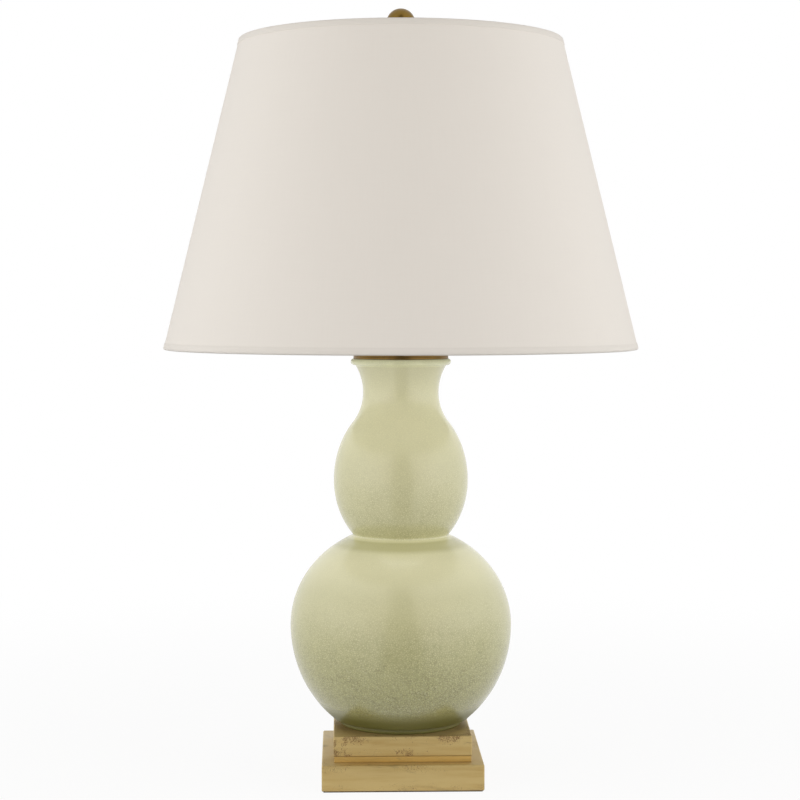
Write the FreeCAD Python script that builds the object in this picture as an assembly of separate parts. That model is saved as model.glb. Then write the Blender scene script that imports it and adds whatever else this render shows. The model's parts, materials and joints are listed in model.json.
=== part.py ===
import FreeCAD, Part
import math
import os

from FreeCAD import Vector

# Double gourd table lamp. Millimetres, +Z up, the origin on the table under the middle of the
# plinth, and the front of the lamp towards -Y. Each function makes one sub-part in its place.

# ---- stepped plinth -------------------------------------------------------------------------
FELT_THICKNESS = 1.0
FELT_MARGIN = 1.6
LOWER_SIDE = 153.4
LOWER_HEIGHT = 24.6
UPPER_SIDE = 131.2
UPPER_HEIGHT = 25.2
REVEAL_HEIGHT = 5.8
REVEAL_DEPTH = 0.7
PLINTH_ROUND = 1.3
RECESS_RADIUS = 26.0
RECESS_DEPTH = 15.0
PLINTH_SCREW_SPACING = 92.0
PLINTH_SCREW_LENGTH = 38.0
PLINTH_SCREW_RADIUS = 2.1
PLINTH_SCREW_HEAD_RADIUS = 4.2

# ---- cord inlet in the back of the lower block ----------------------------------------------
INLET_BORE = 3.6
INLET_WALL = 2.4
INLET_LENGTH = 12.0
INLET_FLANGE_RADIUS = 7.8
INLET_FLANGE_THICKNESS = 1.6
INLET_RISE = 11.1  # above the underside of the block
CHANNEL_MARGIN = 0.8

# ---- threaded pipe that clamps the lamp together --------------------------------------------
PIPE_RADIUS = 5.0
PIPE_BORE = 3.4
PIPE_HOLE_CLEARANCE = 0.4
PIPE_PAST_NUT = 2.5
NUT_FLATS = 17.5
NUT_HEIGHT = 4.0
WASHER_RADIUS = 17.0
WASHER_THICKNESS = 1.5

# ---- gourd ----------------------------------------------------------------------------------
FOOT_RADIUS = 59.0
FOOT_HEIGHT = 9.4
FOOT_ROUND = 1.8
GROOVE_RADIUS = 57.0
GROOVE_HEIGHT = 2.4
GLOBE_HEM_RADIUS = 68.0
GLOBE_HEM_ROUND = 3.0
WALL = 6.0
HOLLOW_RUNS = 5
WAIST_HEIGHT = 184.3  # above the plinth
WAIST_RADIUS = 46.0
WAIST_COVE = 3.0
GLOBE_RADIUS = 107.5
GLOBE_CROWN = 96.9  # half height of the upper half's ellipse
GLOBE_KEEL = 114.2  # half height of the lower half's ellipse
BULB_RADIUS = 65.2
BULB_CROWN = 80.3
BULB_KEEL = 75.5
SHOULDER_ANGLE = 44.2  # how far up the crown's ellipse the neck's cove begins, degrees
NECK_RADIUS = 36.7
FLARE_RADIUS = 52.0
LIP_RADIUS = 48.6
LIP_BEAD = 3.1
LIP_HEIGHT = 355.6  # above the plinth
MOUTH_RADIUS = 27.0

# ---- brass cap and neck on top of the gourd --------------------------------------------------
CAP_RADIUS = 46.0
CAP_SKIRT = 6.4
CAP_RISE = 15.6
CAP_WALL = 1.2
CAP_EDGE_ROUND = 0.7
CAP_SHOULDER = 3.0
CAP_CROWN = 1.6
CAP_SEAT_RADIUS = 11.0
SPACER_HEIGHT = 17.0
SPACER_RADIUS = 9.0
SPACER_WAIST = 6.8

# ---- harp, its saddle and its sleeves --------------------------------------------------------
SADDLE_THICKNESS = 1.6
SADDLE_WIDTH = 12.7
EAR_SPACING = 57.2
EAR_WIDTH = 6.4
EAR_HEIGHT = 13.0
SLIDING_GAP = 0.3
SHOE_THICKNESS = 2.4
SHOE_WIDTH = 5.2
SHOE_HEIGHT = 14.8
SLEEVE_WALL = 0.8
SLEEVE_HEIGHT = 12.0
WIRE_RADIUS = 1.9
HARP_HEIGHT = 257.2  # from the saddle to the middle of the wire at its top
HARP_HALF_WIDTH = 57.0
HARP_LEG = 35.0
FLARE_ANGLE = 22.0
FLARE_BEND = 60.0
ARCH_SPLIT = 35.0
PAD_RADIUS = 8.5
PAD_THICKNESS = 2.4
STUD_SPIGOT_RADIUS = 2.5
STUD_FLANGE_RADIUS = 6.4
STUD_FLANGE_THICKNESS = 1.8
STUD_PIN_RADIUS = 3.1
STUD_PIN_HEIGHT = 10.2
RIVET_RADIUS = 4.2
RIVET_THICKNESS = 1.5
RUNNING_CLEARANCE = 0.06
THREAD_CLEARANCE = 0.1
FACE_GAP = 0.1

# ---- keyed lamp socket -----------------------------------------------------------------------
HUB_RADIUS = 8.0
HUB_HEIGHT = 6.0
SOCKET_CAP_HEIGHT = 20.0
SOCKET_CAP_WALL = 0.8
SHELL_RADIUS = 16.5
SHELL_WALL = 0.5
SHELL_HEIGHT = 48.0
SHELL_LAP = 6.0
LINER_WALL = 0.9
CORE_RADIUS = 14.5
CORE_HEIGHT = 18.0
KEY_HEIGHT = 10.0  # above the underside of the core
KEY_SPINDLE_RADIUS = 1.9
KEY_CHAMBER_RADIUS = 5.0
KEY_SLOT_WIDTH = 7.0
KEY_PADDLE_LENGTH = 12.0
KEY_PADDLE_WIDTH = 14.0
KEY_PADDLE_THICKNESS = 3.0
KEY_COLLAR_RADIUS = 3.2
TERMINAL_HEAD_RADIUS = 2.8
TERMINAL_HEAD_THICKNESS = 1.6
TERMINAL_SHANK_RADIUS = 1.4
TERMINAL_SHANK_LENGTH = 4.0
SCREW_SHELL_WALL = 0.5
SCREW_SHELL_HEIGHT = 26.0
CONTACT_WIDTH = 5.0
CONTACT_THICKNESS = 0.5
CONTACT_RISE = 3.5

# ---- lamp bulb -------------------------------------------------------------------------------
BULB_CAP_RADIUS = 13.0
BULB_CAP_WALL = 0.6
BULB_CAP_HEIGHT = 23.0
BULB_TIP_RADIUS = 3.4
BULB_TIP_HEIGHT = 1.6
BULB_INSULATOR_HEIGHT = 3.0
BULB_INSULATOR_RADIUS = 9.5
GLASS_RADIUS = 30.0
GLASS_NECK_RADIUS = 13.4
GLASS_HEIGHT = 81.0
GLASS_WALL = 0.9
GLASS_NECK_BEND = 40.0

# ---- shade -----------------------------------------------------------------------------------
SHADE_BOTTOM_RADIUS = 228.6
SHADE_TOP_RADIUS = 155.6
SHADE_HEIGHT = 296.0
SHADE_WALL = 0.9
SHADE_RING_WIRE = 1.5
SHADE_RING_GAP = 0.15
HEM_WIDTH = 8.0
ARM_WIRE = 1.6
ARM_COUNT = 3
ARM_BEND = 5.0
ARM_LAP = 3.0
ARM_REACH_BEFORE_RISE = 6.0
ARM_RISE_RUN = 6.0
SPIDER_WASHER_RADIUS = 13.0
SPIDER_WASHER_THICKNESS = 1.6
SPIDER_HOLE_RADIUS = 4.4
SPIDER_DROP = 9.5  # from the shade's top edge down to the washer

# ---- finial ----------------------------------------------------------------------------------
FINIAL_BALL_RADIUS = 14.0
FINIAL_STEM = 12.0
FINIAL_BASE_RADIUS = 8.0
FINIAL_BASE_THICKNESS = 2.2
FINIAL_NECK_RADIUS = 5.6
FINIAL_COLLAR_RADIUS = 7.6
FINIAL_COLLAR_THICKNESS = 2.4
INSERT_RADIUS = 4.3
INSERT_LENGTH = 11.6

# ---- levels that follow from the sizes above -------------------------------------------------
LOWER_TOP = FELT_THICKNESS + LOWER_HEIGHT
UPPER_TOP = LOWER_TOP + UPPER_HEIGHT
RECESS_TOP = FELT_THICKNESS + RECESS_DEPTH
INLET_LEVEL = FELT_THICKNESS + INLET_RISE
PIPE_HOLE = PIPE_RADIUS + PIPE_HOLE_CLEARANCE
PIPE_BOTTOM = RECESS_TOP - WASHER_THICKNESS - NUT_HEIGHT - PIPE_PAST_NUT
LIP_TOP = UPPER_TOP + LIP_HEIGHT
CAP_TOP = LIP_TOP + CAP_RISE
SADDLE_BOTTOM = CAP_TOP + SPACER_HEIGHT
SADDLE_TOP = SADDLE_BOTTOM + SADDLE_THICKNESS
SOCKET_BOTTOM = SADDLE_TOP + NUT_HEIGHT
PIPE_TOP = SOCKET_BOTTOM + HUB_HEIGHT
CORE_BOTTOM = SOCKET_BOTTOM + SOCKET_CAP_HEIGHT - SHELL_LAP
CORE_TOP = CORE_BOTTOM + CORE_HEIGHT
KEY_LEVEL = CORE_BOTTOM + KEY_HEIGHT
LINER_RADIUS = SHELL_RADIUS - SHELL_WALL - FACE_GAP
SCREW_SHELL_BORE = BULB_CAP_RADIUS + 2 * THREAD_CLEARANCE
CONTACT_TOP = CORE_TOP + CONTACT_THICKNESS + CONTACT_RISE
TIP_BOTTOM = CONTACT_TOP + SLIDING_GAP
INSULATOR_BOTTOM = TIP_BOTTOM + BULB_TIP_HEIGHT
BULB_CAP_BOTTOM = INSULATOR_BOTTOM + BULB_INSULATOR_HEIGHT
GLASS_BOTTOM = BULB_CAP_BOTTOM + BULB_CAP_HEIGHT
EAR_X = EAR_SPACING / 2
SHOE_X = EAR_X + SADDLE_THICKNESS / 2 + SLIDING_GAP + SHOE_THICKNESS / 2
LEG_X = SHOE_X + SHOE_THICKNESS / 2 - WIRE_RADIUS
SHOE_BOTTOM = SADDLE_TOP + 2 * SLIDING_GAP
HARP_TOP = SADDLE_TOP + HARP_HEIGHT
PAD_TOP = HARP_TOP + PAD_THICKNESS / 2
PAD_BOTTOM = HARP_TOP - PAD_THICKNESS / 2
STUD_TOP = PAD_TOP + FACE_GAP + STUD_FLANGE_THICKNESS
SPIDER_BOTTOM = STUD_TOP + FACE_GAP
SPIDER_TOP = SPIDER_BOTTOM + SPIDER_WASHER_THICKNESS
SHADE_TOP = SPIDER_TOP + SPIDER_DROP
SHADE_BOTTOM = SHADE_TOP - SHADE_HEIGHT
FINIAL_BOTTOM = SPIDER_TOP + FACE_GAP
HEM_INSIDE = SHADE_RING_WIRE + SHADE_RING_GAP
HEM_OUTSIDE = HEM_INSIDE + SHADE_WALL


# ---- shared shapes ---------------------------------------------------------------------------
def at(radius, height):
    """A point of an outline that is turned about the lamp's axis."""
    return Vector(radius, 0, height)


def polyline(points):
    """Straight edges from point to point."""
    return [Part.makeLine(a, b) for a, b in zip(points[:-1], points[1:])]


def turned(edges):
    """The solid that a closed outline in the XZ plane sweeps about the Z axis."""
    return Part.Face(Part.Wire(edges)).revolve(Vector(0, 0, 0), Vector(0, 0, 1), 360)


def turned_polygon(points):
    return turned(polyline(points + points[:1]))


def disc(radius, bottom, top):
    return Part.makeCylinder(radius, top - bottom, Vector(0, 0, bottom))


def tube(outer, inner, bottom, top):
    return disc(outer, bottom, top).cut(disc(inner, bottom, top))


def block(side_x, side_y, bottom, top):
    """A rectangular block, centred on the axis."""
    return Part.makeBox(side_x, side_y, top - bottom, Vector(-side_x / 2, -side_y / 2, bottom))


def hexagon(flats, bottom, top):
    corner = flats / 2 / math.cos(math.pi / 6)
    points = [Vector(corner * math.cos(a * math.pi / 3), corner * math.sin(a * math.pi / 3), bottom)
              for a in range(7)]
    return Part.Face(Part.makePolygon(points)).extrude(Vector(0, 0, top - bottom))


def mirrored(shape):
    """The shape's twin on the other side of the lamp."""
    return shape.mirror(Vector(0, 0, 0), Vector(1, 0, 0))


def along_y(radius, y_from, y_to, height):
    """A round bar along Y."""
    return Part.makeCylinder(radius, y_to - y_from, Vector(0, y_from, height), Vector(0, 1, 0))


def circle_arc(centre, radius, start, end):
    """An arc in the XZ plane between two angles in degrees, measured from +X towards +Z."""
    def on(angle):
        turn = math.radians(angle)
        return centre + Vector(radius * math.cos(turn), 0, radius * math.sin(turn))
    return Part.Arc(on(start), on((start + end) / 2), on(end)).toShape()


def ellipse_arc(level, radius, half_height, start, end):
    """A stretch of an ellipse about the axis, split in arcs of circles that follow it closely."""
    def on(angle):
        turn = math.radians(angle)
        return at(radius * math.cos(turn), level + half_height * math.sin(turn))
    steps = max(1, math.ceil(abs(end - start) / 24))
    angles = [start + (end - start) * i / steps for i in range(steps + 1)]
    return [Part.Arc(on(a), on((a + b) / 2), on(b)).toShape() for a, b in zip(angles[:-1], angles[1:])]


def ellipse_level(radius, across, half_height):
    """How far from its widest level an ellipse has shrunk to a radius."""
    return half_height * math.sqrt(1 - (radius / across) ** 2)


def swept(path, radius):
    """A round wire along a path of lines and tangent arcs."""
    wire = Part.Wire(path)
    start = path[0].Vertexes[0].Point
    heading = path[0].tangentAt(path[0].FirstParameter)
    section = Part.Wire(Part.makeCircle(radius, start, heading))
    return wire.makePipeShell([section], True, False)


# ---- plinth ----------------------------------------------------------------------------------
def felt_pad():
    side = LOWER_SIDE - 2 * FELT_MARGIN
    return block(side, side, 0, FELT_THICKNESS)


def plinth_screws():
    """Two countersunk screws from below, which keep the upper block from turning."""
    screws = []
    for side in (-1, 1):
        x = side * PLINTH_SCREW_SPACING / 2
        head_height = PLINTH_SCREW_HEAD_RADIUS - PLINTH_SCREW_RADIUS
        foot = Vector(x, 0, FELT_THICKNESS)
        head = Part.makeCone(PLINTH_SCREW_HEAD_RADIUS, PLINTH_SCREW_RADIUS, head_height, foot)
        screws.append(head.fuse(Part.makeCylinder(PLINTH_SCREW_RADIUS, PLINTH_SCREW_LENGTH, foot)).removeSplitter())
    return Part.makeCompound(screws)


def lower_plinth():
    body = block(LOWER_SIDE, LOWER_SIDE, FELT_THICKNESS, LOWER_TOP)
    body = body.makeFillet(PLINTH_ROUND, body.Edges)
    back = LOWER_SIDE / 2
    seat = along_y(INLET_BORE + INLET_WALL, back - INLET_LENGTH, back, INLET_LEVEL)
    channel = along_y(INLET_BORE + CHANNEL_MARGIN, 0, back, INLET_LEVEL)
    recess = disc(RECESS_RADIUS, FELT_THICKNESS, RECESS_TOP)
    return body.cut([recess, disc(PIPE_HOLE, FELT_THICKNESS, LOWER_TOP), seat, channel, plinth_screws()])


def upper_plinth():
    """The upper block, over a shallow shadow reveal."""
    reveal_top = LOWER_TOP + REVEAL_HEIGHT
    body = block(UPPER_SIDE, UPPER_SIDE, reveal_top, UPPER_TOP)
    body = body.makeFillet(PLINTH_ROUND, body.Edges)
    inner_side = UPPER_SIDE - 2 * (REVEAL_DEPTH + PLINTH_ROUND)
    reveal = block(UPPER_SIDE - 2 * REVEAL_DEPTH, UPPER_SIDE - 2 * REVEAL_DEPTH, LOWER_TOP, reveal_top)
    body = body.fuse([reveal, block(inner_side, inner_side, LOWER_TOP, UPPER_TOP)]).removeSplitter()
    return body.cut([disc(PIPE_HOLE, LOWER_TOP, UPPER_TOP), plinth_screws()])


def cord_bushing():
    """The flanged bushing that the lead would leave by."""
    back = LOWER_SIDE / 2
    barrel = along_y(INLET_BORE + INLET_WALL, back - INLET_LENGTH, back, INLET_LEVEL)
    flange = along_y(INLET_FLANGE_RADIUS, back, back + INLET_FLANGE_THICKNESS, INLET_LEVEL)
    outer_edge = [e for e in flange.Edges if e.BoundBox.YMin > back + INLET_FLANGE_THICKNESS / 2]
    flange = flange.makeFillet(INLET_FLANGE_THICKNESS * 0.6, outer_edge)
    bore = along_y(INLET_BORE, back - INLET_LENGTH, back + INLET_FLANGE_THICKNESS, INLET_LEVEL)
    return barrel.fuse(flange).removeSplitter().cut(bore)


# ---- pipe and its nuts -----------------------------------------------------------------------
def lamp_pipe():
    return tube(PIPE_RADIUS, PIPE_BORE, PIPE_BOTTOM, PIPE_TOP)


def bottom_washer():
    return tube(WASHER_RADIUS, PIPE_RADIUS, RECESS_TOP - WASHER_THICKNESS, RECESS_TOP)


def bottom_nut():
    top = RECESS_TOP - WASHER_THICKNESS
    return hexagon(NUT_FLATS, top - NUT_HEIGHT, top).cut(disc(PIPE_RADIUS, top - NUT_HEIGHT, top))


def saddle_nut():
    return hexagon(NUT_FLATS, SADDLE_TOP, SOCKET_BOTTOM).cut(disc(PIPE_RADIUS, SADDLE_TOP, SOCKET_BOTTOM))


# ---- gourd -----------------------------------------------------------------------------------
def waist_level():
    return UPPER_TOP + WAIST_HEIGHT


def globe_level():
    """The widest level of the lower globe."""
    return waist_level() - ellipse_level(WAIST_RADIUS, GLOBE_RADIUS, GLOBE_CROWN)


def bulb_level():
    """The widest level of the upper bulb."""
    return waist_level() + ellipse_level(WAIST_RADIUS, BULB_RADIUS, BULB_KEEL)


def globe_outline():
    """The foot ring, its groove and the globe, up to the waist."""
    foot_top = UPPER_TOP + FOOT_HEIGHT
    hem = foot_top + GROOVE_HEIGHT
    keel = globe_level() - ellipse_level(GLOBE_HEM_RADIUS, GLOBE_RADIUS, GLOBE_KEEL)
    hem_in = GLOBE_HEM_RADIUS - GLOBE_HEM_ROUND
    edges = [Part.makeLine(at(0, UPPER_TOP), at(FOOT_RADIUS - FOOT_ROUND, UPPER_TOP))]
    edges.append(circle_arc(at(FOOT_RADIUS - FOOT_ROUND, UPPER_TOP + FOOT_ROUND), FOOT_ROUND, -90, 0))
    edges += polyline([
        at(FOOT_RADIUS, UPPER_TOP + FOOT_ROUND),
        at(FOOT_RADIUS, foot_top),
        at(GROOVE_RADIUS, foot_top),
        at(GROOVE_RADIUS, hem),
        at(hem_in, max(hem - GLOBE_HEM_ROUND, keel - GLOBE_HEM_ROUND)),
        at(GLOBE_HEM_RADIUS, keel),
    ])
    start = -math.degrees(math.acos(GLOBE_HEM_RADIUS / GLOBE_RADIUS))
    end = math.degrees(math.acos(WAIST_RADIUS / GLOBE_RADIUS))
    edges += ellipse_arc(globe_level(), GLOBE_RADIUS, GLOBE_KEEL, start, 0)
    edges += ellipse_arc(globe_level(), GLOBE_RADIUS, GLOBE_CROWN, 0, end)
    return edges


def neck_cove():
    """Where the crown's ellipse runs over into the neck: the point, its slope, and the cove's radius."""
    turn = math.radians(SHOULDER_ANGLE)
    radius = BULB_RADIUS * math.cos(turn)
    level = bulb_level() + BULB_CROWN * math.sin(turn)
    slope = math.atan2(BULB_RADIUS * math.sin(turn), BULB_CROWN * math.cos(turn))
    cove = (radius - NECK_RADIUS) / (1 - math.cos(slope))
    return radius, level, slope, cove


def bulb_outline():
    """The upper bulb, the neck and the flare, from the waist up to the lip's bead."""
    radius, level, slope, cove = neck_cove()
    neck_level = level + cove * math.sin(slope)
    start = -math.degrees(math.acos(WAIST_RADIUS / BULB_RADIUS))
    edges = ellipse_arc(bulb_level(), BULB_RADIUS, BULB_KEEL, start, 0)
    edges += ellipse_arc(bulb_level(), BULB_RADIUS, BULB_CROWN, 0, SHOULDER_ANGLE)
    edges.append(circle_arc(at(NECK_RADIUS + cove, neck_level), cove, 180 + math.degrees(slope), 180))
    rise = LIP_TOP - 2 * LIP_BEAD - neck_level
    flare = math.degrees(math.asin(min(0.9, rise / FLARE_RADIUS)))
    edges.append(circle_arc(at(NECK_RADIUS + FLARE_RADIUS, neck_level), FLARE_RADIUS, 180, 180 - flare))
    end = edges[-1].Vertexes[-1].Point
    bead = at(LIP_RADIUS - LIP_BEAD, LIP_TOP - LIP_BEAD)
    edges += polyline([end, bead + Vector(0, 0, -LIP_BEAD)])
    edges.append(circle_arc(bead, LIP_BEAD, -90, 90))
    edges += polyline([bead + Vector(0, 0, LIP_BEAD), at(0, LIP_TOP)])
    return edges


def hollow_points(level, radius, half_height, start, end):
    """Points along an ellipse, joined by straight runs where nobody sees the hollow."""
    angles = [math.radians(start + (end - start) * i / HOLLOW_RUNS) for i in range(HOLLOW_RUNS + 1)]
    return [at(radius * math.cos(a), level + half_height * math.sin(a)) for a in angles]


def gourd_inside():
    """The hollow of the casting: two ellipses within the wall, and the bore of the neck."""
    floor = UPPER_TOP + FOOT_HEIGHT + WALL
    low = globe_level()
    high = bulb_level()
    across = GLOBE_RADIUS - WALL
    keel = GLOBE_KEEL - WALL
    start = -math.degrees(math.asin(min(0.95, (low - floor) / keel)))
    narrow = BULB_RADIUS - WALL
    globe = hollow_points(low, across, keel, start, 0)
    globe += hollow_points(low, across, GLOBE_CROWN - WALL, 0, 70)[1:]
    bulb = hollow_points(high, narrow, BULB_KEEL - WALL, -70, 0)
    bulb += hollow_points(high, narrow, BULB_CROWN - 2 * WALL, 0, 60)[1:]
    spaces = [turned_polygon([at(0, side[0].z)] + side + [at(0, side[-1].z)]) for side in (globe, bulb)]
    return spaces + [disc(MOUTH_RADIUS, low, LIP_TOP)]


def gourd_body():
    outline = globe_outline() + bulb_outline()
    start = outline[0].Vertexes[0].Point
    outline += polyline([outline[-1].Vertexes[-1].Point, start])
    body = turned(outline)
    crease = [e for e in body.Edges
              if abs(e.CenterOfMass.z - waist_level()) < 0.01 and abs(e.Length - 2 * math.pi * WAIST_RADIUS) < 1]
    body = body.makeFillet(WAIST_COVE, crease)
    foot_hollow = disc(GROOVE_RADIUS - 2 * WALL, UPPER_TOP, UPPER_TOP + FOOT_HEIGHT - WALL / 2)
    return body.cut(gourd_inside() + [foot_hollow, disc(PIPE_HOLE, UPPER_TOP, LIP_TOP)])


# ---- brass cap and neck ----------------------------------------------------------------------
def vase_cap():
    """A spun cap with a straight skirt and a low dome, one sheet thick."""
    level = LIP_TOP + CAP_SKIRT - CAP_SHOULDER

    def side(inset):
        """One side of the sheet above the skirt: the rounded shoulder and the low dome."""
        shoulder = CAP_SHOULDER - inset
        centre = at(CAP_RADIUS - CAP_SHOULDER, level)
        rim = centre + Vector(0, 0, shoulder)
        crown = at(CAP_SEAT_RADIUS, CAP_TOP - inset)
        middle = (rim + crown) * 0.5 + Vector(0, 0, CAP_CROWN)
        return [circle_arc(centre, shoulder, 0, 90)] + polyline([rim, middle, crown])

    edge = CAP_EDGE_ROUND
    outside = side(0)
    inside = side(CAP_WALL)
    edges = [circle_arc(at(CAP_RADIUS - edge, LIP_TOP + edge), edge, -90, 0)]
    edges += polyline([at(CAP_RADIUS, LIP_TOP + edge), at(CAP_RADIUS, level)])
    edges += outside
    edges += polyline([at(CAP_SEAT_RADIUS, CAP_TOP), at(PIPE_HOLE, CAP_TOP),
                       at(PIPE_HOLE, CAP_TOP - CAP_WALL), at(CAP_SEAT_RADIUS, CAP_TOP - CAP_WALL)])
    edges += inside[::-1]
    edges += polyline([at(CAP_RADIUS - CAP_WALL, level), at(CAP_RADIUS - CAP_WALL, LIP_TOP),
                       at(CAP_RADIUS - edge, LIP_TOP)])
    return turned(edges)


def neck_spacer():
    """A turned neck: a collar at each end and a hollowed middle."""
    collar = SPACER_HEIGHT * 0.2
    low = CAP_TOP + collar
    high = SADDLE_BOTTOM - collar
    middle = at(SPACER_WAIST, (low + high) / 2)
    edges = polyline([at(PIPE_HOLE, CAP_TOP), at(SPACER_RADIUS, CAP_TOP), at(SPACER_RADIUS, low)])
    edges.append(Part.Arc(at(SPACER_RADIUS, low), middle, at(SPACER_RADIUS, high)).toShape())
    edges += polyline([at(SPACER_RADIUS, high), at(SPACER_RADIUS, SADDLE_BOTTOM),
                       at(PIPE_HOLE, SADDLE_BOTTOM), at(PIPE_HOLE, CAP_TOP)])
    return turned(edges)


# ---- harp and saddle -------------------------------------------------------------------------
def harp_saddle():
    """A pressed strap: wide at the pipe, tapering to two upright ears."""
    end = EAR_X + SADDLE_THICKNESS / 2
    wide = SADDLE_WIDTH / 2
    narrow = EAR_WIDTH / 2
    corners = [(-end, -narrow), (-wide * 2, -wide), (wide * 2, -wide), (end, -narrow),
               (end, narrow), (wide * 2, wide), (-wide * 2, wide), (-end, narrow)]
    points = [Vector(x, y, SADDLE_BOTTOM) for x, y in corners]
    strap = Part.Face(Part.makePolygon(points + points[:1])).extrude(Vector(0, 0, SADDLE_THICKNESS))
    ears = []
    for side in (-1, 1):
        x = side * EAR_X - SADDLE_THICKNESS / 2
        tip = SADDLE_TOP + EAR_HEIGHT - narrow
        upright = Part.makeBox(SADDLE_THICKNESS, EAR_WIDTH, tip - SADDLE_BOTTOM, Vector(x, -narrow, SADDLE_BOTTOM))
        ears += [upright, Part.makeCylinder(narrow, SADDLE_THICKNESS, Vector(x, 0, tip), Vector(1, 0, 0))]
    saddle = strap.fuse(ears).removeSplitter()
    return saddle.cut(disc(PIPE_HOLE, SADDLE_BOTTOM, SADDLE_TOP))


def harp_half_path():
    """The middle of the wire from the right leg's foot to the pad, as lines and tangent arcs."""
    foot = SHOE_BOTTOM + SHOE_HEIGHT - WIRE_RADIUS
    leg_top = SADDLE_TOP + HARP_LEG
    flare = math.radians(FLARE_ANGLE)
    bend_out = FLARE_BEND * (1 - math.cos(flare))
    sweep = (HARP_HALF_WIDTH - LEG_X - bend_out) / (1 - math.cos(flare))
    widest = leg_top + (FLARE_BEND + sweep) * math.sin(flare)
    flat = PAD_RADIUS * 0.8
    # The arch turns a quarter in two tangent arcs, whose radii fit its width and its height.
    split = math.radians(ARCH_SPLIT)
    across = HARP_HALF_WIDTH - flat
    up = HARP_TOP - widest
    side_share = 1 - math.cos(split)
    top_share = 1 - math.sin(split)
    det = side_share * top_share - math.cos(split) * math.sin(split)
    side_arc = (across * top_share - up * math.cos(split)) / det
    top_arc = (side_share * up - math.sin(split) * across) / det
    path = polyline([at(LEG_X, foot), at(LEG_X, leg_top)])
    path.append(circle_arc(at(LEG_X + FLARE_BEND, leg_top), FLARE_BEND, 180, 180 - FLARE_ANGLE))
    path.append(circle_arc(at(HARP_HALF_WIDTH - sweep, widest), sweep, -FLARE_ANGLE, 0))
    path.append(circle_arc(at(HARP_HALF_WIDTH - side_arc, widest), side_arc, 0, ARCH_SPLIT))
    path.append(circle_arc(at(flat, HARP_TOP - top_arc), top_arc, ARCH_SPLIT, 90))
    path += polyline([at(flat, HARP_TOP), at(STUD_SPIGOT_RADIUS + WIRE_RADIUS, HARP_TOP)])
    return path


def harp():
    """The bowed wire, with its flattened pad at the top and a flattened shoe on each leg."""
    wire = swept(harp_half_path(), WIRE_RADIUS)
    shoe = Part.makeBox(SHOE_THICKNESS, SHOE_WIDTH, SHOE_HEIGHT,
                        Vector(SHOE_X - SHOE_THICKNESS / 2, -SHOE_WIDTH / 2, SHOE_BOTTOM))
    clear = 2 * PAD_RADIUS
    half = wire.fuse(shoe)
    above = block(clear, clear, PAD_TOP, PAD_TOP + clear)
    below = block(clear, clear, PAD_BOTTOM - clear, PAD_BOTTOM)
    half = half.cut([above, below])
    body = half.fuse([mirrored(half), disc(PAD_RADIUS, PAD_BOTTOM, PAD_TOP)])
    return body.cut(disc(STUD_SPIGOT_RADIUS + RUNNING_CLEARANCE, PAD_BOTTOM, PAD_TOP)).removeSplitter()


def sleeve(side):
    """The ferrule that drops over an ear and the harp's shoe and locks them together."""
    inner_from = EAR_X - SADDLE_THICKNESS / 2 - SLIDING_GAP
    inner_to = SHOE_X + SHOE_THICKNESS / 2 + SLIDING_GAP
    inner_half = EAR_WIDTH / 2 + SLIDING_GAP
    bottom = SADDLE_TOP + SLIDING_GAP
    def shell(grow):
        size_x = inner_to - inner_from + 2 * grow
        size_y = 2 * (inner_half + grow)
        box = Part.makeBox(size_x, size_y, SLEEVE_HEIGHT, Vector(inner_from - grow, -inner_half - grow, bottom))
        uprights = [e for e in box.Edges if abs(e.tangentAt(e.FirstParameter).z) > 0.9]
        return box.makeFillet(0.6 + grow, uprights)
    ferrule = shell(SLEEVE_WALL).cut(shell(0))
    return ferrule if side > 0 else mirrored(ferrule)


def harp_stud():
    """The swivel at the top of the harp: riveted under the pad, threaded above it for the finial."""
    flange_bottom = PAD_TOP + FACE_GAP
    rivet_top = PAD_BOTTOM - FACE_GAP
    rivet = disc(RIVET_RADIUS, rivet_top - RIVET_THICKNESS, rivet_top)
    spigot = disc(STUD_SPIGOT_RADIUS, rivet_top, flange_bottom)
    flange = disc(STUD_FLANGE_RADIUS, flange_bottom, STUD_TOP)
    pin = disc(STUD_PIN_RADIUS, STUD_TOP, STUD_TOP + STUD_PIN_HEIGHT)
    return rivet.fuse([spigot, flange, pin]).removeSplitter()


# ---- keyed socket ----------------------------------------------------------------------------
def key_slot(outer):
    """The notch that the key's spindle passes through, open at the bottom."""
    bottom = CORE_BOTTOM - SHELL_LAP
    box = Part.makeBox(KEY_SLOT_WIDTH, outer, KEY_LEVEL - bottom, Vector(-KEY_SLOT_WIDTH / 2, -outer, bottom))
    return box.fuse(along_y(KEY_SLOT_WIDTH / 2, -outer, 0, KEY_LEVEL))


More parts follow.
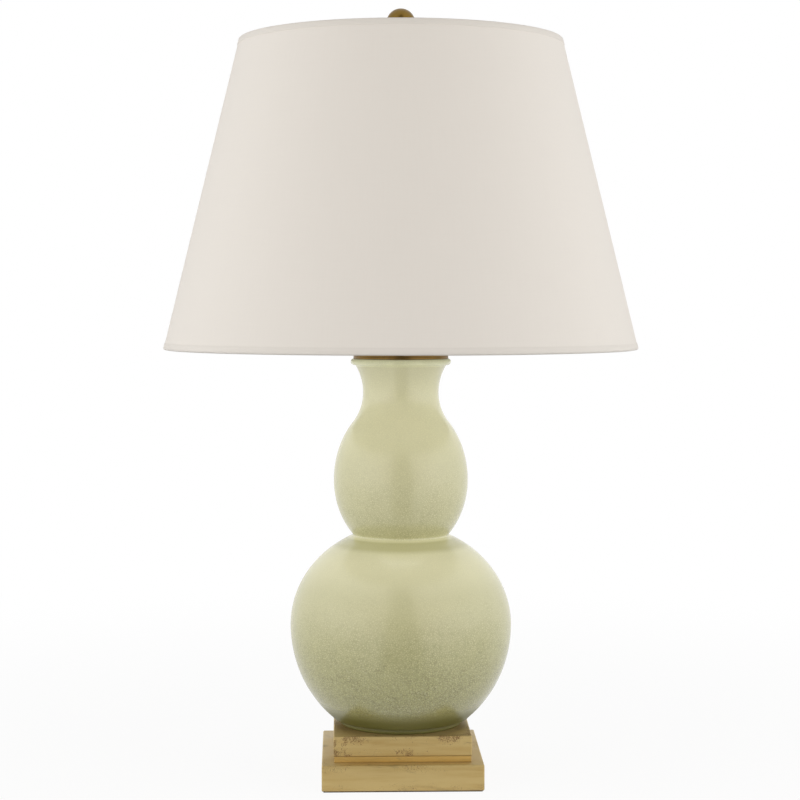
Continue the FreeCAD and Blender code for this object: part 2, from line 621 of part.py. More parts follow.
def socket_cap():
    """The cap that screws on the pipe: a hub, a dome and a skirt that takes the shell."""
    top = SOCKET_BOTTOM + SOCKET_CAP_HEIGHT
    shoulder = top - 2 * SHELL_LAP
    outer = SHELL_RADIUS + FACE_GAP + SOCKET_CAP_WALL

    def dome(inset):
        """One side of the dome, from the hub out to the skirt."""
        hub = at(HUB_RADIUS - inset, SOCKET_BOTTOM + HUB_HEIGHT * 0.6)
        rim = at(outer - inset, shoulder + SHELL_LAP / 2)
        bulge = Vector(1, 0, -1) * (outer - HUB_RADIUS) * 0.16
        return polyline([hub, (hub + rim) * 0.5 + bulge, rim]), hub, rim

    outside, hub, rim = dome(0)
    inside, inner_hub, inner_rim = dome(SOCKET_CAP_WALL)
    edges = polyline([at(PIPE_RADIUS, SOCKET_BOTTOM), at(HUB_RADIUS, SOCKET_BOTTOM), hub])
    edges += outside
    edges += polyline([rim, at(rim.x, top), at(inner_rim.x, top), inner_rim])
    edges += inside[::-1]
    edges += polyline([inner_hub, at(inner_hub.x, PIPE_TOP), at(PIPE_RADIUS, PIPE_TOP),
                       at(PIPE_RADIUS, SOCKET_BOTTOM)])
    return turned(edges)


def socket_shell():
    bottom = CORE_BOTTOM
    shell = tube(SHELL_RADIUS, SHELL_RADIUS - SHELL_WALL, bottom, bottom + SHELL_HEIGHT)
    bead = tube(SHELL_RADIUS + SHELL_WALL, SHELL_RADIUS - SHELL_WALL,
                bottom + SHELL_HEIGHT - 2 * SHELL_WALL, bottom + SHELL_HEIGHT)
    return shell.fuse(bead).removeSplitter().cut(key_slot(2 * SHELL_RADIUS))


def socket_liner():
    top = CORE_BOTTOM + SHELL_HEIGHT - 2 * SHELL_WALL
    return tube(LINER_RADIUS, LINER_RADIUS - LINER_WALL, CORE_BOTTOM, top).cut(key_slot(2 * SHELL_RADIUS))


def terminal(side):
    """A wire terminal: a screw along X in a pocket on the side of the core."""
    level = CORE_BOTTOM + CORE_HEIGHT / 2
    face = CORE_RADIUS - TERMINAL_HEAD_THICKNESS - 1.0
    head = Part.makeCylinder(TERMINAL_HEAD_RADIUS, TERMINAL_HEAD_THICKNESS, Vector(face, 0, level), Vector(1, 0, 0))
    shank = Part.makeCylinder(TERMINAL_SHANK_RADIUS, TERMINAL_SHANK_LENGTH,
                              Vector(face - TERMINAL_SHANK_LENGTH, 0, level), Vector(1, 0, 0))
    screw = head.fuse(shank).removeSplitter()
    return screw if side > 0 else mirrored(screw)


def terminal_pocket(side):
    level = CORE_BOTTOM + CORE_HEIGHT / 2
    face = CORE_RADIUS - TERMINAL_HEAD_THICKNESS - 1.0
    half = TERMINAL_HEAD_RADIUS + 1.2
    pocket = Part.makeBox(CORE_RADIUS, 2 * half, 2 * half, Vector(face, -half, level - half))
    return pocket if side > 0 else mirrored(pocket)


def terminal_screws():
    return Part.makeCompound([terminal(-1), terminal(1)])


def key_bore():
    return along_y(KEY_SPINDLE_RADIUS + RUNNING_CLEARANCE, -CORE_RADIUS, 0, KEY_LEVEL)


def socket_core():
    """The moulded body: the switch chamber, the spindle's bearing, terminals and a way for the wires."""
    body = disc(CORE_RADIUS, CORE_BOTTOM, CORE_TOP)
    chamber = along_y(KEY_CHAMBER_RADIUS, -KEY_CHAMBER_RADIUS, KEY_CHAMBER_RADIUS, KEY_LEVEL)
    wires = disc(PIPE_BORE, CORE_BOTTOM, KEY_LEVEL)
    cuts = [chamber, wires, key_bore()]
    for side in (-1, 1):
        cuts += [terminal_pocket(side), terminal(side)]
    return body.cut(cuts)


def screw_shell():
    """The threaded cup that takes the bulb, as a plain cup of the thread's inner size."""
    outer = SCREW_SHELL_BORE + SCREW_SHELL_WALL
    cup = disc(outer, CORE_TOP, CORE_TOP + SCREW_SHELL_HEIGHT)
    inside = disc(SCREW_SHELL_BORE, CORE_TOP + SCREW_SHELL_WALL, CORE_TOP + SCREW_SHELL_HEIGHT)
    return cup.cut([inside, disc(SCREW_SHELL_BORE / 2, CORE_TOP, CORE_TOP + SCREW_SHELL_WALL)])


def contact_spring():
    """The centre contact: a leaf fixed at one end and humped under the bulb's tip."""
    thick = CONTACT_THICKNESS
    half = CONTACT_WIDTH
    low = [(-half, 0), (-half / 2, 0), (-half / 4, CONTACT_RISE), (half / 4, CONTACT_RISE), (half * 0.8, CONTACT_RISE / 3)]
    points = [Vector(x, -CONTACT_WIDTH / 2, CORE_TOP + z) for x, z in low]
    points += [p + Vector(0, 0, thick) for p in reversed(points)]
    return Part.Face(Part.makePolygon(points + points[:1])).extrude(Vector(0, CONTACT_WIDTH, 0))


def switch_key():
    """The turn key: a spindle with a cam in the chamber, a collar, and a flat thumb paddle."""
    outside = -(SHELL_RADIUS + SOCKET_CAP_WALL + 2 * SLIDING_GAP)
    cam_end = KEY_CHAMBER_RADIUS - SLIDING_GAP - 1.0
    spindle = along_y(KEY_SPINDLE_RADIUS, outside, cam_end, KEY_LEVEL)
    cam_radius = KEY_CHAMBER_RADIUS * 0.62
    cam = along_y(cam_radius, -cam_end / 2, cam_end / 2, KEY_LEVEL)
    collar = along_y(KEY_COLLAR_RADIUS, outside - 2.0, outside, KEY_LEVEL)
    start = outside - 2.0 - KEY_PADDLE_LENGTH
    paddle = Part.makeBox(KEY_PADDLE_THICKNESS, KEY_PADDLE_LENGTH, KEY_PADDLE_WIDTH,
                          Vector(-KEY_PADDLE_THICKNESS / 2, start, KEY_LEVEL - KEY_PADDLE_WIDTH / 2))
    ends = [e for e in paddle.Edges if abs(e.tangentAt(e.FirstParameter).x) > 0.9]
    paddle = paddle.makeFillet(KEY_PADDLE_LENGTH * 0.4, ends)
    return spindle.fuse([cam, collar, paddle]).removeSplitter()


# ---- bulb ------------------------------------------------------------------------------------
def bulb_tip():
    low = at(0, TIP_BOTTOM)
    edge = at(BULB_TIP_RADIUS, INSULATOR_BOTTOM)
    middle = at(BULB_TIP_RADIUS * 0.75, TIP_BOTTOM + BULB_TIP_HEIGHT * 0.36)
    edges = [Part.Arc(low, middle, edge).toShape()]
    edges += polyline([edge, at(0, INSULATOR_BOTTOM), low])
    return turned(edges)


def bulb_insulator():
    bottom = INSULATOR_BOTTOM + FACE_GAP
    return Part.makeCone(BULB_TIP_RADIUS + 1, BULB_INSULATOR_RADIUS, BULB_CAP_BOTTOM - bottom, Vector(0, 0, bottom))


def bulb_cap():
    """The bulb's screw cap, as a plain cup of the thread's outer size."""
    taper = BULB_CAP_RADIUS - BULB_INSULATOR_RADIUS
    wall = BULB_CAP_WALL
    return turned_polygon([
        at(0, BULB_CAP_BOTTOM),
        at(BULB_INSULATOR_RADIUS, BULB_CAP_BOTTOM),
        at(BULB_CAP_RADIUS, BULB_CAP_BOTTOM + taper),
        at(BULB_CAP_RADIUS, GLASS_BOTTOM),
        at(BULB_CAP_RADIUS - wall, GLASS_BOTTOM),
        at(BULB_CAP_RADIUS - wall, BULB_CAP_BOTTOM + taper + wall),
        at(BULB_INSULATOR_RADIUS - wall, BULB_CAP_BOTTOM + wall),
        at(0, BULB_CAP_BOTTOM + wall),
    ])


def glass_outline(inset):
    """One side of the glass: a straight neck, a cove that flares, and a round head tangent to it."""
    head = GLASS_RADIUS - inset
    neck = GLASS_NECK_RADIUS - inset
    cove = GLASS_NECK_BEND + inset
    centre = GLASS_BOTTOM + GLASS_HEIGHT - GLASS_RADIUS
    # The head's circle and the cove's circle touch where the line of their centres meets them.
    across = neck + cove
    drop = math.sqrt((head + cove) ** 2 - across ** 2)
    touch = math.degrees(math.atan2(drop, across))
    neck_top = centre - drop
    edges = polyline([at(neck, GLASS_BOTTOM), at(neck, neck_top)])
    edges.append(circle_arc(at(across, neck_top), cove, 180, 180 - touch))
    edges.append(circle_arc(at(0, centre), head, -touch, 90))
    return edges


def bulb_glass():
    """The glass envelope, open at the neck where the cap closes it."""
    outside = glass_outline(0)
    neck, cove, head = glass_outline(GLASS_WALL)
    inside = neck.discretize(2) + cove.discretize(HOLLOW_RUNS)[1:] + head.discretize(2 * HOLLOW_RUNS)[1:]
    start = outside[0].Vertexes[0].Point
    top = outside[-1].Vertexes[-1].Point
    return turned(outside + polyline([top] + inside[::-1] + [start]))


# ---- shade -----------------------------------------------------------------------------------
def shade_frame():
    """The centres of the two wire rings, and the directions across and up the wall."""
    across = SHADE_BOTTOM_RADIUS - SHADE_TOP_RADIUS
    slope = math.atan2(across, SHADE_HEIGHT - 2 * HEM_OUTSIDE)
    out = Vector(math.cos(slope), 0, math.sin(slope))
    up = Vector(-math.sin(slope), 0, math.cos(slope))
    inset = HEM_OUTSIDE * math.cos(slope)
    low = at(SHADE_BOTTOM_RADIUS - inset, SHADE_BOTTOM + HEM_OUTSIDE)
    high = at(SHADE_TOP_RADIUS - inset, SHADE_TOP - HEM_OUTSIDE)
    return low, high, out, up


def around_wire(centre, out, up, reach, corners):
    """Corners of an octagon about a ring's wire, its flats at a distance, as its section is drawn."""
    corner = reach / math.cos(math.pi / 8)
    turns = [math.radians(22.5 + 45 * i) for i in range(corners)]
    return [centre + (out * math.cos(t) + up * math.sin(t)) * corner for t in turns]


def shade_cover():
    """The laminated cloth wall, folded inwards over a wire ring at the top and at the bottom."""
    low, high, out, up = shade_frame()
    down = up * -1
    top_outside = around_wire(high, out, up, HEM_OUTSIDE, 4)
    top_inside = around_wire(high, out, up, HEM_INSIDE, 4)
    bottom_outside = around_wire(low, out, down, HEM_OUTSIDE, 4)
    bottom_inside = around_wire(low, out, down, HEM_INSIDE, 4)
    wall = turned_polygon(
        top_outside
        + [high - out * HEM_OUTSIDE + down * HEM_WIDTH, high - out * HEM_INSIDE + down * HEM_WIDTH]
        + top_inside[::-1]
        + bottom_inside
        + [low - out * HEM_INSIDE + up * HEM_WIDTH, low - out * HEM_OUTSIDE + up * HEM_WIDTH]
        + bottom_outside[::-1]
    )
    return wall.cut([arm(i, ARM_WIRE + SHADE_RING_GAP) for i in range(ARM_COUNT)])


def ring(centre, out, up):
    return turned_polygon(around_wire(centre, out, up, SHADE_RING_WIRE, 8))


def shade_top_ring():
    low, high, out, up = shade_frame()
    return ring(high, out, up)


def shade_bottom_ring():
    low, high, out, up = shade_frame()
    return ring(low, out, up)


def arm(index, radius):
    """A spider arm: out from the washer, up to the ring's level, and on to the ring."""
    high = shade_frame()[1]
    level = (SPIDER_BOTTOM + SPIDER_TOP) / 2
    rise = high.z - level
    slope = math.degrees(math.atan2(rise, ARM_RISE_RUN))
    tangent = ARM_BEND * math.tan(math.radians(slope) / 2)
    knee = SPIDER_WASHER_RADIUS + ARM_REACH_BEFORE_RISE
    top = knee + ARM_RISE_RUN
    lean = Vector(math.cos(math.radians(slope)), 0, math.sin(math.radians(slope)))
    path = polyline([at(SPIDER_WASHER_RADIUS - ARM_LAP, level), at(knee - tangent, level)])
    path.append(circle_arc(at(knee - tangent, level + ARM_BEND), ARM_BEND, -90, slope - 90))
    path += polyline([at(knee, level) + lean * tangent, at(top, high.z) - lean * tangent])
    path.append(circle_arc(at(top + tangent, high.z - ARM_BEND), ARM_BEND, slope + 90, 90))
    path += polyline([at(top + tangent, high.z), at(high.x - SHADE_RING_WIRE / 3, high.z)])
    wire = swept(path, radius)
    wire.rotate(Vector(0, 0, 0), Vector(0, 0, 1), 90 + 360 * index / ARM_COUNT)
    return wire


def spider_arms():
    """Three arms, slotted over the rim of the washer and cupped against the ring."""
    seats = [disc(SPIDER_WASHER_RADIUS, SPIDER_BOTTOM, SPIDER_TOP), shade_top_ring()]
    return Part.makeCompound([arm(i, ARM_WIRE).cut(seats) for i in range(ARM_COUNT)])


def spider_washer():
    return tube(SPIDER_WASHER_RADIUS, SPIDER_HOLE_RADIUS, SPIDER_BOTTOM, SPIDER_TOP)


# ---- finial ----------------------------------------------------------------------------------
def finial_ball():
    """A ball on a turned stem, bored from below for its threaded insert."""
    bottom = FINIAL_BOTTOM
    base_top = bottom + FINIAL_BASE_THICKNESS
    centre = bottom + FINIAL_STEM + FINIAL_BALL_RADIUS
    collar_bottom = bottom + FINIAL_STEM - FINIAL_COLLAR_THICKNESS
    collar_top = collar_bottom + FINIAL_COLLAR_THICKNESS
    bore = INSERT_RADIUS + RUNNING_CLEARANCE
    bore_top = bottom + INSERT_LENGTH + FACE_GAP
    meet = math.degrees(math.asin((centre - collar_top) / FINIAL_BALL_RADIUS * 0.94))
    ball_start = at(FINIAL_BALL_RADIUS * math.cos(math.radians(meet)),
                    centre - FINIAL_BALL_RADIUS * math.sin(math.radians(meet)))
    neck_middle = at(FINIAL_NECK_RADIUS, (base_top + collar_bottom) / 2)
    edges = polyline([at(bore, bottom), at(FINIAL_BASE_RADIUS, bottom), at(FINIAL_BASE_RADIUS, base_top)])
    edges.append(Part.Arc(at(FINIAL_BASE_RADIUS, base_top), neck_middle,
                          at(FINIAL_COLLAR_RADIUS, collar_bottom)).toShape())
    edges += polyline([at(FINIAL_COLLAR_RADIUS, collar_bottom), at(FINIAL_COLLAR_RADIUS, collar_top),
                       ball_start])
    edges.append(circle_arc(at(0, centre), FINIAL_BALL_RADIUS, -meet, 90))
    edges += polyline([at(0, centre + FINIAL_BALL_RADIUS), at(0, bore_top), at(bore, bore_top), at(bore, bottom)])
    return turned(edges)


def finial_insert():
    """The threaded bush in the finial, as a plain tube of the thread's size."""
    bottom = FINIAL_BOTTOM
    return tube(INSERT_RADIUS, STUD_PIN_RADIUS + THREAD_CLEARANCE, bottom, bottom + INSERT_LENGTH)


SUB_PARTS = {
    "felt_pad": felt_pad,
    "lower_plinth": lower_plinth,
    "upper_plinth": upper_plinth,
    "plinth_screws": plinth_screws,
    "cord_bushing": cord_bushing,
    "lamp_pipe": lamp_pipe,
    "bottom_washer": bottom_washer,
    "bottom_nut": bottom_nut,
    "gourd_body": gourd_body,
    "vase_cap": vase_cap,
    "neck_spacer": neck_spacer,
    "harp_saddle": harp_saddle,
    "saddle_nut": saddle_nut,
    "socket_cap": socket_cap,
    "socket_shell": socket_shell,
    "socket_liner": socket_liner,
    "socket_core": socket_core,
    "terminal_screws": terminal_screws,
    "screw_shell": screw_shell,
    "contact_spring": contact_spring,
    "switch_key": switch_key,
    "bulb_tip": bulb_tip,
    "bulb_insulator": bulb_insulator,
    "bulb_cap": bulb_cap,
    "bulb_glass": bulb_glass,
    "harp": harp,
    "sleeve_left": lambda: sleeve(-1),
    "sleeve_right": lambda: sleeve(1),
    "harp_stud": harp_stud,
    "shade_cover": shade_cover,
    "shade_top_ring": shade_top_ring,
    "shade_bottom_ring": shade_bottom_ring,
    "spider_arms": spider_arms,
    "spider_washer": spider_washer,
    "finial_ball": finial_ball,
    "finial_insert": finial_insert,
}

os.makedirs("parts", exist_ok=True)
for name, make in SUB_PARTS.items():
    shape = make()
    shape.exportStep(f"parts/{name}.step")
    box = shape.BoundBox
    print(f"{name:18s} solids {len(shape.Solids)} valid {shape.isValid()} volume {shape.Volume:12.1f}"
          f"  z {box.ZMin:7.2f} to {box.ZMax:7.2f}")
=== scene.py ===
import json
import math

import bmesh
import bpy
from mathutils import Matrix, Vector

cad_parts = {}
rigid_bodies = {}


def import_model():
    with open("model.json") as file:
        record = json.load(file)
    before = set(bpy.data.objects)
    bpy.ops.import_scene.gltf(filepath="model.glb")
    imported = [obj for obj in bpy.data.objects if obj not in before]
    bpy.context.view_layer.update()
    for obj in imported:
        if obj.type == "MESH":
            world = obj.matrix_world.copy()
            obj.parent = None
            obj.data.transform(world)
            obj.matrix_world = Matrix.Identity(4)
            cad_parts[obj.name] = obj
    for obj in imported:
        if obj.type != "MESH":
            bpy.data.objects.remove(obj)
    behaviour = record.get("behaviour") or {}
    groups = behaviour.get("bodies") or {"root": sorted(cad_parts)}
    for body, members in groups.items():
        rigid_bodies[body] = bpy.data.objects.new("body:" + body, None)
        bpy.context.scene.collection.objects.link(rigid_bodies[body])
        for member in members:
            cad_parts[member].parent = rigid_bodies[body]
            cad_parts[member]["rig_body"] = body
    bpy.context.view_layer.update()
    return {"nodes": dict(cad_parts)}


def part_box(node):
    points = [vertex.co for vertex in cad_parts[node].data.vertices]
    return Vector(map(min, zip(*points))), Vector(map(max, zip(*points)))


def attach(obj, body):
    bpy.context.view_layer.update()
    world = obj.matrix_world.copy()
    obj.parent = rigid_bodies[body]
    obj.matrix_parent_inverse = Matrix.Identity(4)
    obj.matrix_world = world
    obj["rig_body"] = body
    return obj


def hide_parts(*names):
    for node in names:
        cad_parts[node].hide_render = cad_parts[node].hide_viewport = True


bl_info = {
    "name": "Double Gourd Table Lamp",
    "version": (1, 0, 0),
    "blender": (4, 5, 0),
    "location": "3D View > Sidebar > Gourd Lamp",
    "description": "Dresses a double gourd table lamp: glaze, gold leaf, linen, brass and its lampholder",
    "category": "Object",
}

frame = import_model()
FULL_TURN = 2 * math.pi
WHITE = (1.0, 1.0, 1.0)

# The gourd's foot, shoulder and mouth.
FOOT_HOLLOW_RADIUS = 0.045
FOOT_HOLLOW_DEPTH = 0.0064
FOOT_ROUND = 0.0018
GROOVE = 0.0024
SHOULDER_ANGLE = 44.2
MOUTH_RADIUS = 0.027
MOUTH_DEPTH = 0.05

# The step between the plinth's blocks.
REVEAL_HEIGHT = 0.0058
REVEAL_DEPTH = 0.0007

# The shade's wall and its seam.
SHADE_SKIN = 0.0003
SHADE_THICKNESS = 0.0009
RIM_INSET = 0.0014
RING_WRAP = 0.0034
SEAM_WIDTH = 0.011

# The threads of the harp's stud and the bulb's cap, and the beads on the lampholder's shell.
STUD_HEIGHT = 0.0102
STUD_RADIUS = 0.0031
STUD_PITCH = 0.00094
STUD_THREAD_DEPTH = 0.00038
BULB_CAP_RADIUS = 0.013
BULB_CAP_PITCH = 0.00363
BULB_CAP_THREAD_DEPTH = 0.00044
SHELL_BEAD_RADIUS = 0.0165
SHELL_BEAD_SECTION = 0.0006

# The stage: its light, its paper, and the camera's place, aim and lens.
HORIZON = 1.8
ZENITH = 0.52
PAPER_GREY = (0.52, 0.52, 0.52)
WARM_END = (1.0, 0.93, 0.85)
SOFTBOX_POWER = 16.0
SOFTBOX_PLACE = (1.72, -0.92, 0.52)
SOFTBOX_AIM = (0, 0, 0.34)
SOFTBOX_SIZE = (2.0, 1.1)
SWEEP_FRONT = -3.5
SWEEP_BACK = 2.2
SWEEP_ROUND = 1.0
SWEEP_TOP = 4.0
SWEEP_SIDE = 5.0
CAMERA_DISTANCE = 1.8875
CAMERA_TURN = -1.7
CAMERA_HEIGHT = 0.4618
CAMERA_AIM = (-0.0008, 0, 0.366)
CAMERA_LENS = 87.6


# ---- sizes and colours that a user would change ----------------------------------------------
def length(name, description, default):
    return bpy.props.FloatProperty(name=name, description=description, default=default, min=0.0,
                                   precision=4, subtype="DISTANCE", unit="LENGTH")


def colour(name, description, default):
    return bpy.props.FloatVectorProperty(name=name, description=description, default=default,
                                         size=3, min=0.0, max=1.0, subtype="COLOR")


class LampSizes(bpy.types.PropertyGroup):
    """Sizes of the lamp's own forms, in metres."""
    globe_radius: length("Globe Radius", "Half the width of the lower globe", 0.1075)
    globe_crown: length("Globe Crown", "Half height of the ellipse above the globe's widest level", 0.0969)
    globe_keel: length("Globe Keel", "Half height of the ellipse below the globe's widest level", 0.1142)
    globe_hem: length("Globe Hem", "Radius of the turned edge under the globe", 0.068)
    waist_radius: length("Waist Radius", "Radius of the crease between globe and bulb", 0.046)
    waist_height: length("Waist Height", "Height of the crease above the table", 0.2351)
    bulb_radius: length("Bulb Radius", "Half the width of the upper bulb", 0.0652)
    bulb_crown: length("Bulb Crown", "Half height of the ellipse above the bulb's widest level", 0.0803)
    bulb_keel: length("Bulb Keel", "Half height of the ellipse below the bulb's widest level", 0.0755)
    neck_radius: length("Neck Radius", "Radius of the narrowest part of the neck", 0.0367)
    neck_flare: length("Neck Flare", "Radius of the curve that opens the neck to the lip", 0.052)
    lip_radius: length("Lip Radius", "Radius of the bead round the mouth", 0.0486)
    lip_bead: length("Lip Bead", "Radius of the bead's own section", 0.0031)
    foot_radius: length("Foot Radius", "Radius of the foot ring", 0.059)
    foot_height: length("Foot Height", "Height of the foot ring", 0.0094)
    hem_width: length("Shade Hem", "Width of the tape folded over each rim of the shade", 0.0062)
    hem_proud: length("Hem Thickness", "How far the tape stands proud of the linen", 0.00045)
    edge_round: length("Edge Round", "Softening of the plinth's edges", 0.0013)


class LampFinishes(bpy.types.PropertyGroup):
    """Base colours of the lamp's finishes."""
    glaze: colour("Glaze", "Celadon glaze where it is thin, on the shoulders", (0.68, 0.66, 0.405))
    # Paler colour for the lip and shoulders: partly thinner glaze, partly painted light where the shade keeps
    # the lamps off.
    glaze_thin_and_lit: colour("Thin Glaze", "Where the glaze has run off, on the lip and the shoulders",
                       (0.84, 0.815, 0.520))
    # Darker colour lower down and in the crease: partly thicker glaze, partly painted shade.
    glaze_run_and_shade: colour("Run Glaze", "Glaze where it has run down and is thicker", (0.475, 0.46, 0.198))
    # Darkest colour, under the globe and on the foot: partly pooled glaze, partly painted shade and the
    # painted reflection of the plinth.
    glaze_pooled_and_shade: colour("Pooled Glaze", "Glaze in a deep pool, under the globe and on the foot",
                         (0.125, 0.120, 0.014))
    crackle: colour("Crackle", "Stain in the crackle lines", (0.14, 0.135, 0.045))
    leaf: colour("Gold Leaf", "Leaf on the plinth", (0.580, 0.435, 0.180))
    bole: colour("Bole", "Clay that shows where the leaf is rubbed", (0.17, 0.080, 0.025))
    linen: colour("Linen", "Shade linen", (0.79, 0.752, 0.700))
    brass: colour("Antique Brass", "Cap and finial", (0.305, 0.190, 0.058))
    bright_brass: colour("Bright Brass", "Lampholder", (0.72, 0.52, 0.22))


# ---- shader node helpers -----------------------------------------------------------------------
class Graph:
    """Adds nodes to a tree; an input given a socket is linked, and one given a value is set."""

    def __init__(self, tree):
        self.tree = tree

    def put(self, socket, value):
        """Links or sets one input; a colour may come without its alpha."""
        if isinstance(value, bpy.types.NodeSocket):
            self.tree.links.new(value, socket)
        elif isinstance(value, tuple) and len(value) == 3 and len(socket.default_value) == 4:
            socket.default_value = (*value, 1.0)
        else:
            socket.default_value = value

    def add(self, kind, inputs=None, **settings):
        node = self.tree.nodes.new(kind)
        for key, value in settings.items():
            setattr(node, key, value)
        for key, value in (inputs or {}).items():
            self.put(node.inputs[key], value)
        return node

    def math(self, operation, a, b=0.0, clamp=False):
        return self.add("ShaderNodeMath", {0: a, 1: b}, operation=operation, use_clamp=clamp).outputs[0]

    def times(self, a, b, clamp=False):
        return self.math("MULTIPLY", a, b, clamp)

    def plus(self, a, b, clamp=False):
        return self.math("ADD", a, b, clamp)

    def minus(self, a, b, clamp=False):
        return self.math("SUBTRACT", a, b, clamp)

    def split(self, vector):
        """The X, Y and Z of a vector."""
        return self.add("ShaderNodeSeparateXYZ", {0: vector}).outputs

    def ramp(self, value, low, high, to_low=0.0, to_high=1.0):
        return self.add("ShaderNodeMapRange", {"Value": value, "From Min": low, "From Max": high,
                                               "To Min": to_low, "To Max": to_high},
                        interpolation_type="SMOOTHSTEP").outputs[0]

    def mix(self, factor, a, b):
        node = self.add("ShaderNodeMix", data_type="RGBA", blend_type="MIX")
        for index, value in ((0, factor), (6, a), (7, b)):
            self.put(node.inputs[index], value)
        return node.outputs[2]

    def noise(self, vector, scale, detail=3.0, rough=0.55, distortion=0.0):
        return self.add("ShaderNodeTexNoise", {"Vector": vector, "Scale": scale, "Detail": detail,
                                               "Roughness": rough, "Distortion": distortion}).outputs["Fac"]

    def stretch(self, vector, scale):
        return self.add("ShaderNodeMapping", {"Vector": vector, "Scale": scale}).outputs[0]

    def bump(self, height, strength, distance):
        return self.add("ShaderNodeBump", {"Height": height, "Strength": strength,
                                           "Distance": distance}).outputs[0]


def effect_group(name, numbers, outputs):
    """A shader node group that takes a vector and named numbers: the group, its graph, its inputs."""
    group = bpy.data.node_groups.new(name, "ShaderNodeTree")
    sockets = group.interface
    sockets.new_socket(name="Vector", in_out="INPUT", socket_type="NodeSocketVector")
    for label, default in numbers.items():
        made = sockets.new_socket(name=label, in_out="INPUT", socket_type="NodeSocketFloat")
        made.default_value = default
    for label in outputs:
        sockets.new_socket(name=label, in_out="OUTPUT", socket_type="NodeSocketFloat")
    graph = Graph(group)
    return group, graph, graph.add("NodeGroupInput").outputs


def crackle_group():
    """A net of fine crazing lines, as in a glaze that shrank more than its clay."""
    group, g, given = effect_group("Crackle", {"Scale": 600.0, "Width": 0.08}, ["Lines"])
    drift = g.add("ShaderNodeTexNoise", {"Vector": given["Vector"], "Scale": 160.0, "Detail": 2.0})
    shifted = g.add("ShaderNodeVectorMath", {0: drift.outputs["Color"], 1: (0.5, 0.5, 0.5)},
                    operation="SUBTRACT")
    scaled = g.add("ShaderNodeVectorMath", {0: shifted.outputs[0], "Scale": 0.0016}, operation="SCALE")
    moved = g.add("ShaderNodeVectorMath", {0: given["Vector"], 1: scaled.outputs[0]}, operation="ADD")
    cells = g.add("ShaderNodeTexVoronoi", {"Vector": moved.outputs[0], "Scale": given["Scale"]},
                  feature="DISTANCE_TO_EDGE")
    lines = g.ramp(cells.outputs["Distance"], 0.0, given["Width"], 1.0, 0.0)
    g.add("NodeGroupOutput", {"Lines": lines})
    return group


def cloud_group():
    """Soft uneven patches, for colour that varies and metal that has tarnished."""
    group, g, given = effect_group("Clouding", {"Scale": 20.0, "Low": 0.35, "High": 0.65}, ["Mask"])
    value = g.noise(given["Vector"], given["Scale"], 5.0, 0.6, 0.4)
    g.add("NodeGroupOutput", {"Mask": g.ramp(value, given["Low"], given["High"])})
    return group


def speck_group():
    """Small pits and specks, thinned out by a coverage."""
    group, g, given = effect_group("Specks", {"Scale": 400.0, "Coverage": 0.3}, ["Mask"])
    grain = g.noise(given["Vector"], given["Scale"], 4.0, 0.7, 0.6)
    limit = g.minus(0.78, g.times(given["Coverage"], 0.36))
    g.add("NodeGroupOutput", {"Mask": g.ramp(g.minus(grain, limit), 0.0, 0.05)})
    return group


def brushed_group():
    """Fine lines left by polishing along one direction of a stretched vector."""
    group, g, given = effect_group("Brushing", {"Scale": 900.0}, ["Height"])
    lines = g.noise(given["Vector"], given["Scale"], 2.0, 0.5)
    broad = g.noise(given["Vector"], g.times(given["Scale"], 0.21), 3.0, 0.6)
    g.add("NodeGroupOutput", {"Height": g.plus(g.times(lines, 0.6), g.times(broad, 0.4))})
    return group


def weave_group():
    """A plain weave on a map measured in metres: warp and weft with slubs."""
    group, g, given = effect_group("Weave", {"Threads": 1400.0}, ["Height", "Slubs"])
    parts = g.split(given["Vector"])
    wave_u, wave_v = (g.math("SINE", g.times(parts[i], g.times(given["Threads"], 3.1416))) for i in (0, 1))
    cross = g.plus(g.times(g.times(wave_u, wave_v), 0.5), 0.5)
    warp = g.noise(g.stretch(given["Vector"], (900.0, 24.0, 1.0)), 1.0, 3.0, 0.6)
    weft = g.noise(g.stretch(given["Vector"], (24.0, 900.0, 1.0)), 1.0, 3.0, 0.6)
    slubs = g.times(g.plus(warp, weft), 0.5)
    height = g.plus(g.times(cross, 0.5), g.times(slubs, 0.5))
    g.add("NodeGroupOutput", {"Height": height, "Slubs": slubs})
    return group


def corner_group():
    """How near a point is to the edges of an upright square block, from 0 on its faces to 1."""
    group, g, given = effect_group("Block Edges", {"Half": 0.076, "Low": 0.0, "High": 0.027, "Reach": 0.006},
                                   ["Mask"])
    parts = g.split(given["Vector"])
    near = []
    for i in (0, 1):
        gap = g.minus(given["Half"], g.math("ABSOLUTE", parts[i]))
        near.append(g.minus(1.0, g.math("DIVIDE", gap, given["Reach"]), clamp=True))
    top = g.math("DIVIDE", g.minus(given["High"], parts[2]), given["Reach"])
    low = g.math("DIVIDE", g.minus(parts[2], given["Low"]), given["Reach"])
    near.append(g.minus(1.0, g.math("MINIMUM", top, low), clamp=True))
    total = g.plus(g.plus(near[0], near[1]), near[2])
    g.add("NodeGroupOutput", {"Mask": g.ramp(total, 0.9, 1.9)})
    return group


EFFECT_MAKERS = {"crackle": crackle_group, "clouding": cloud_group, "specks": speck_group,
                 "brushing": brushed_group, "weave": weave_group, "edges": corner_group}
EFFECTS = {}


def effect(graph, name, inputs, output):
    """Places one of the shared effect groups in a material and returns one of its outputs."""
    if name not in EFFECTS:
        EFFECTS[name] = EFFECT_MAKERS[name]()
    return graph.add("ShaderNodeGroup", inputs, node_tree=EFFECTS[name]).outputs[output]


def clouds(graph, vector, scale, low, high):
    return effect(graph, "clouding", {"Vector": vector, "Scale": scale, "Low": low, "High": high}, "Mask")


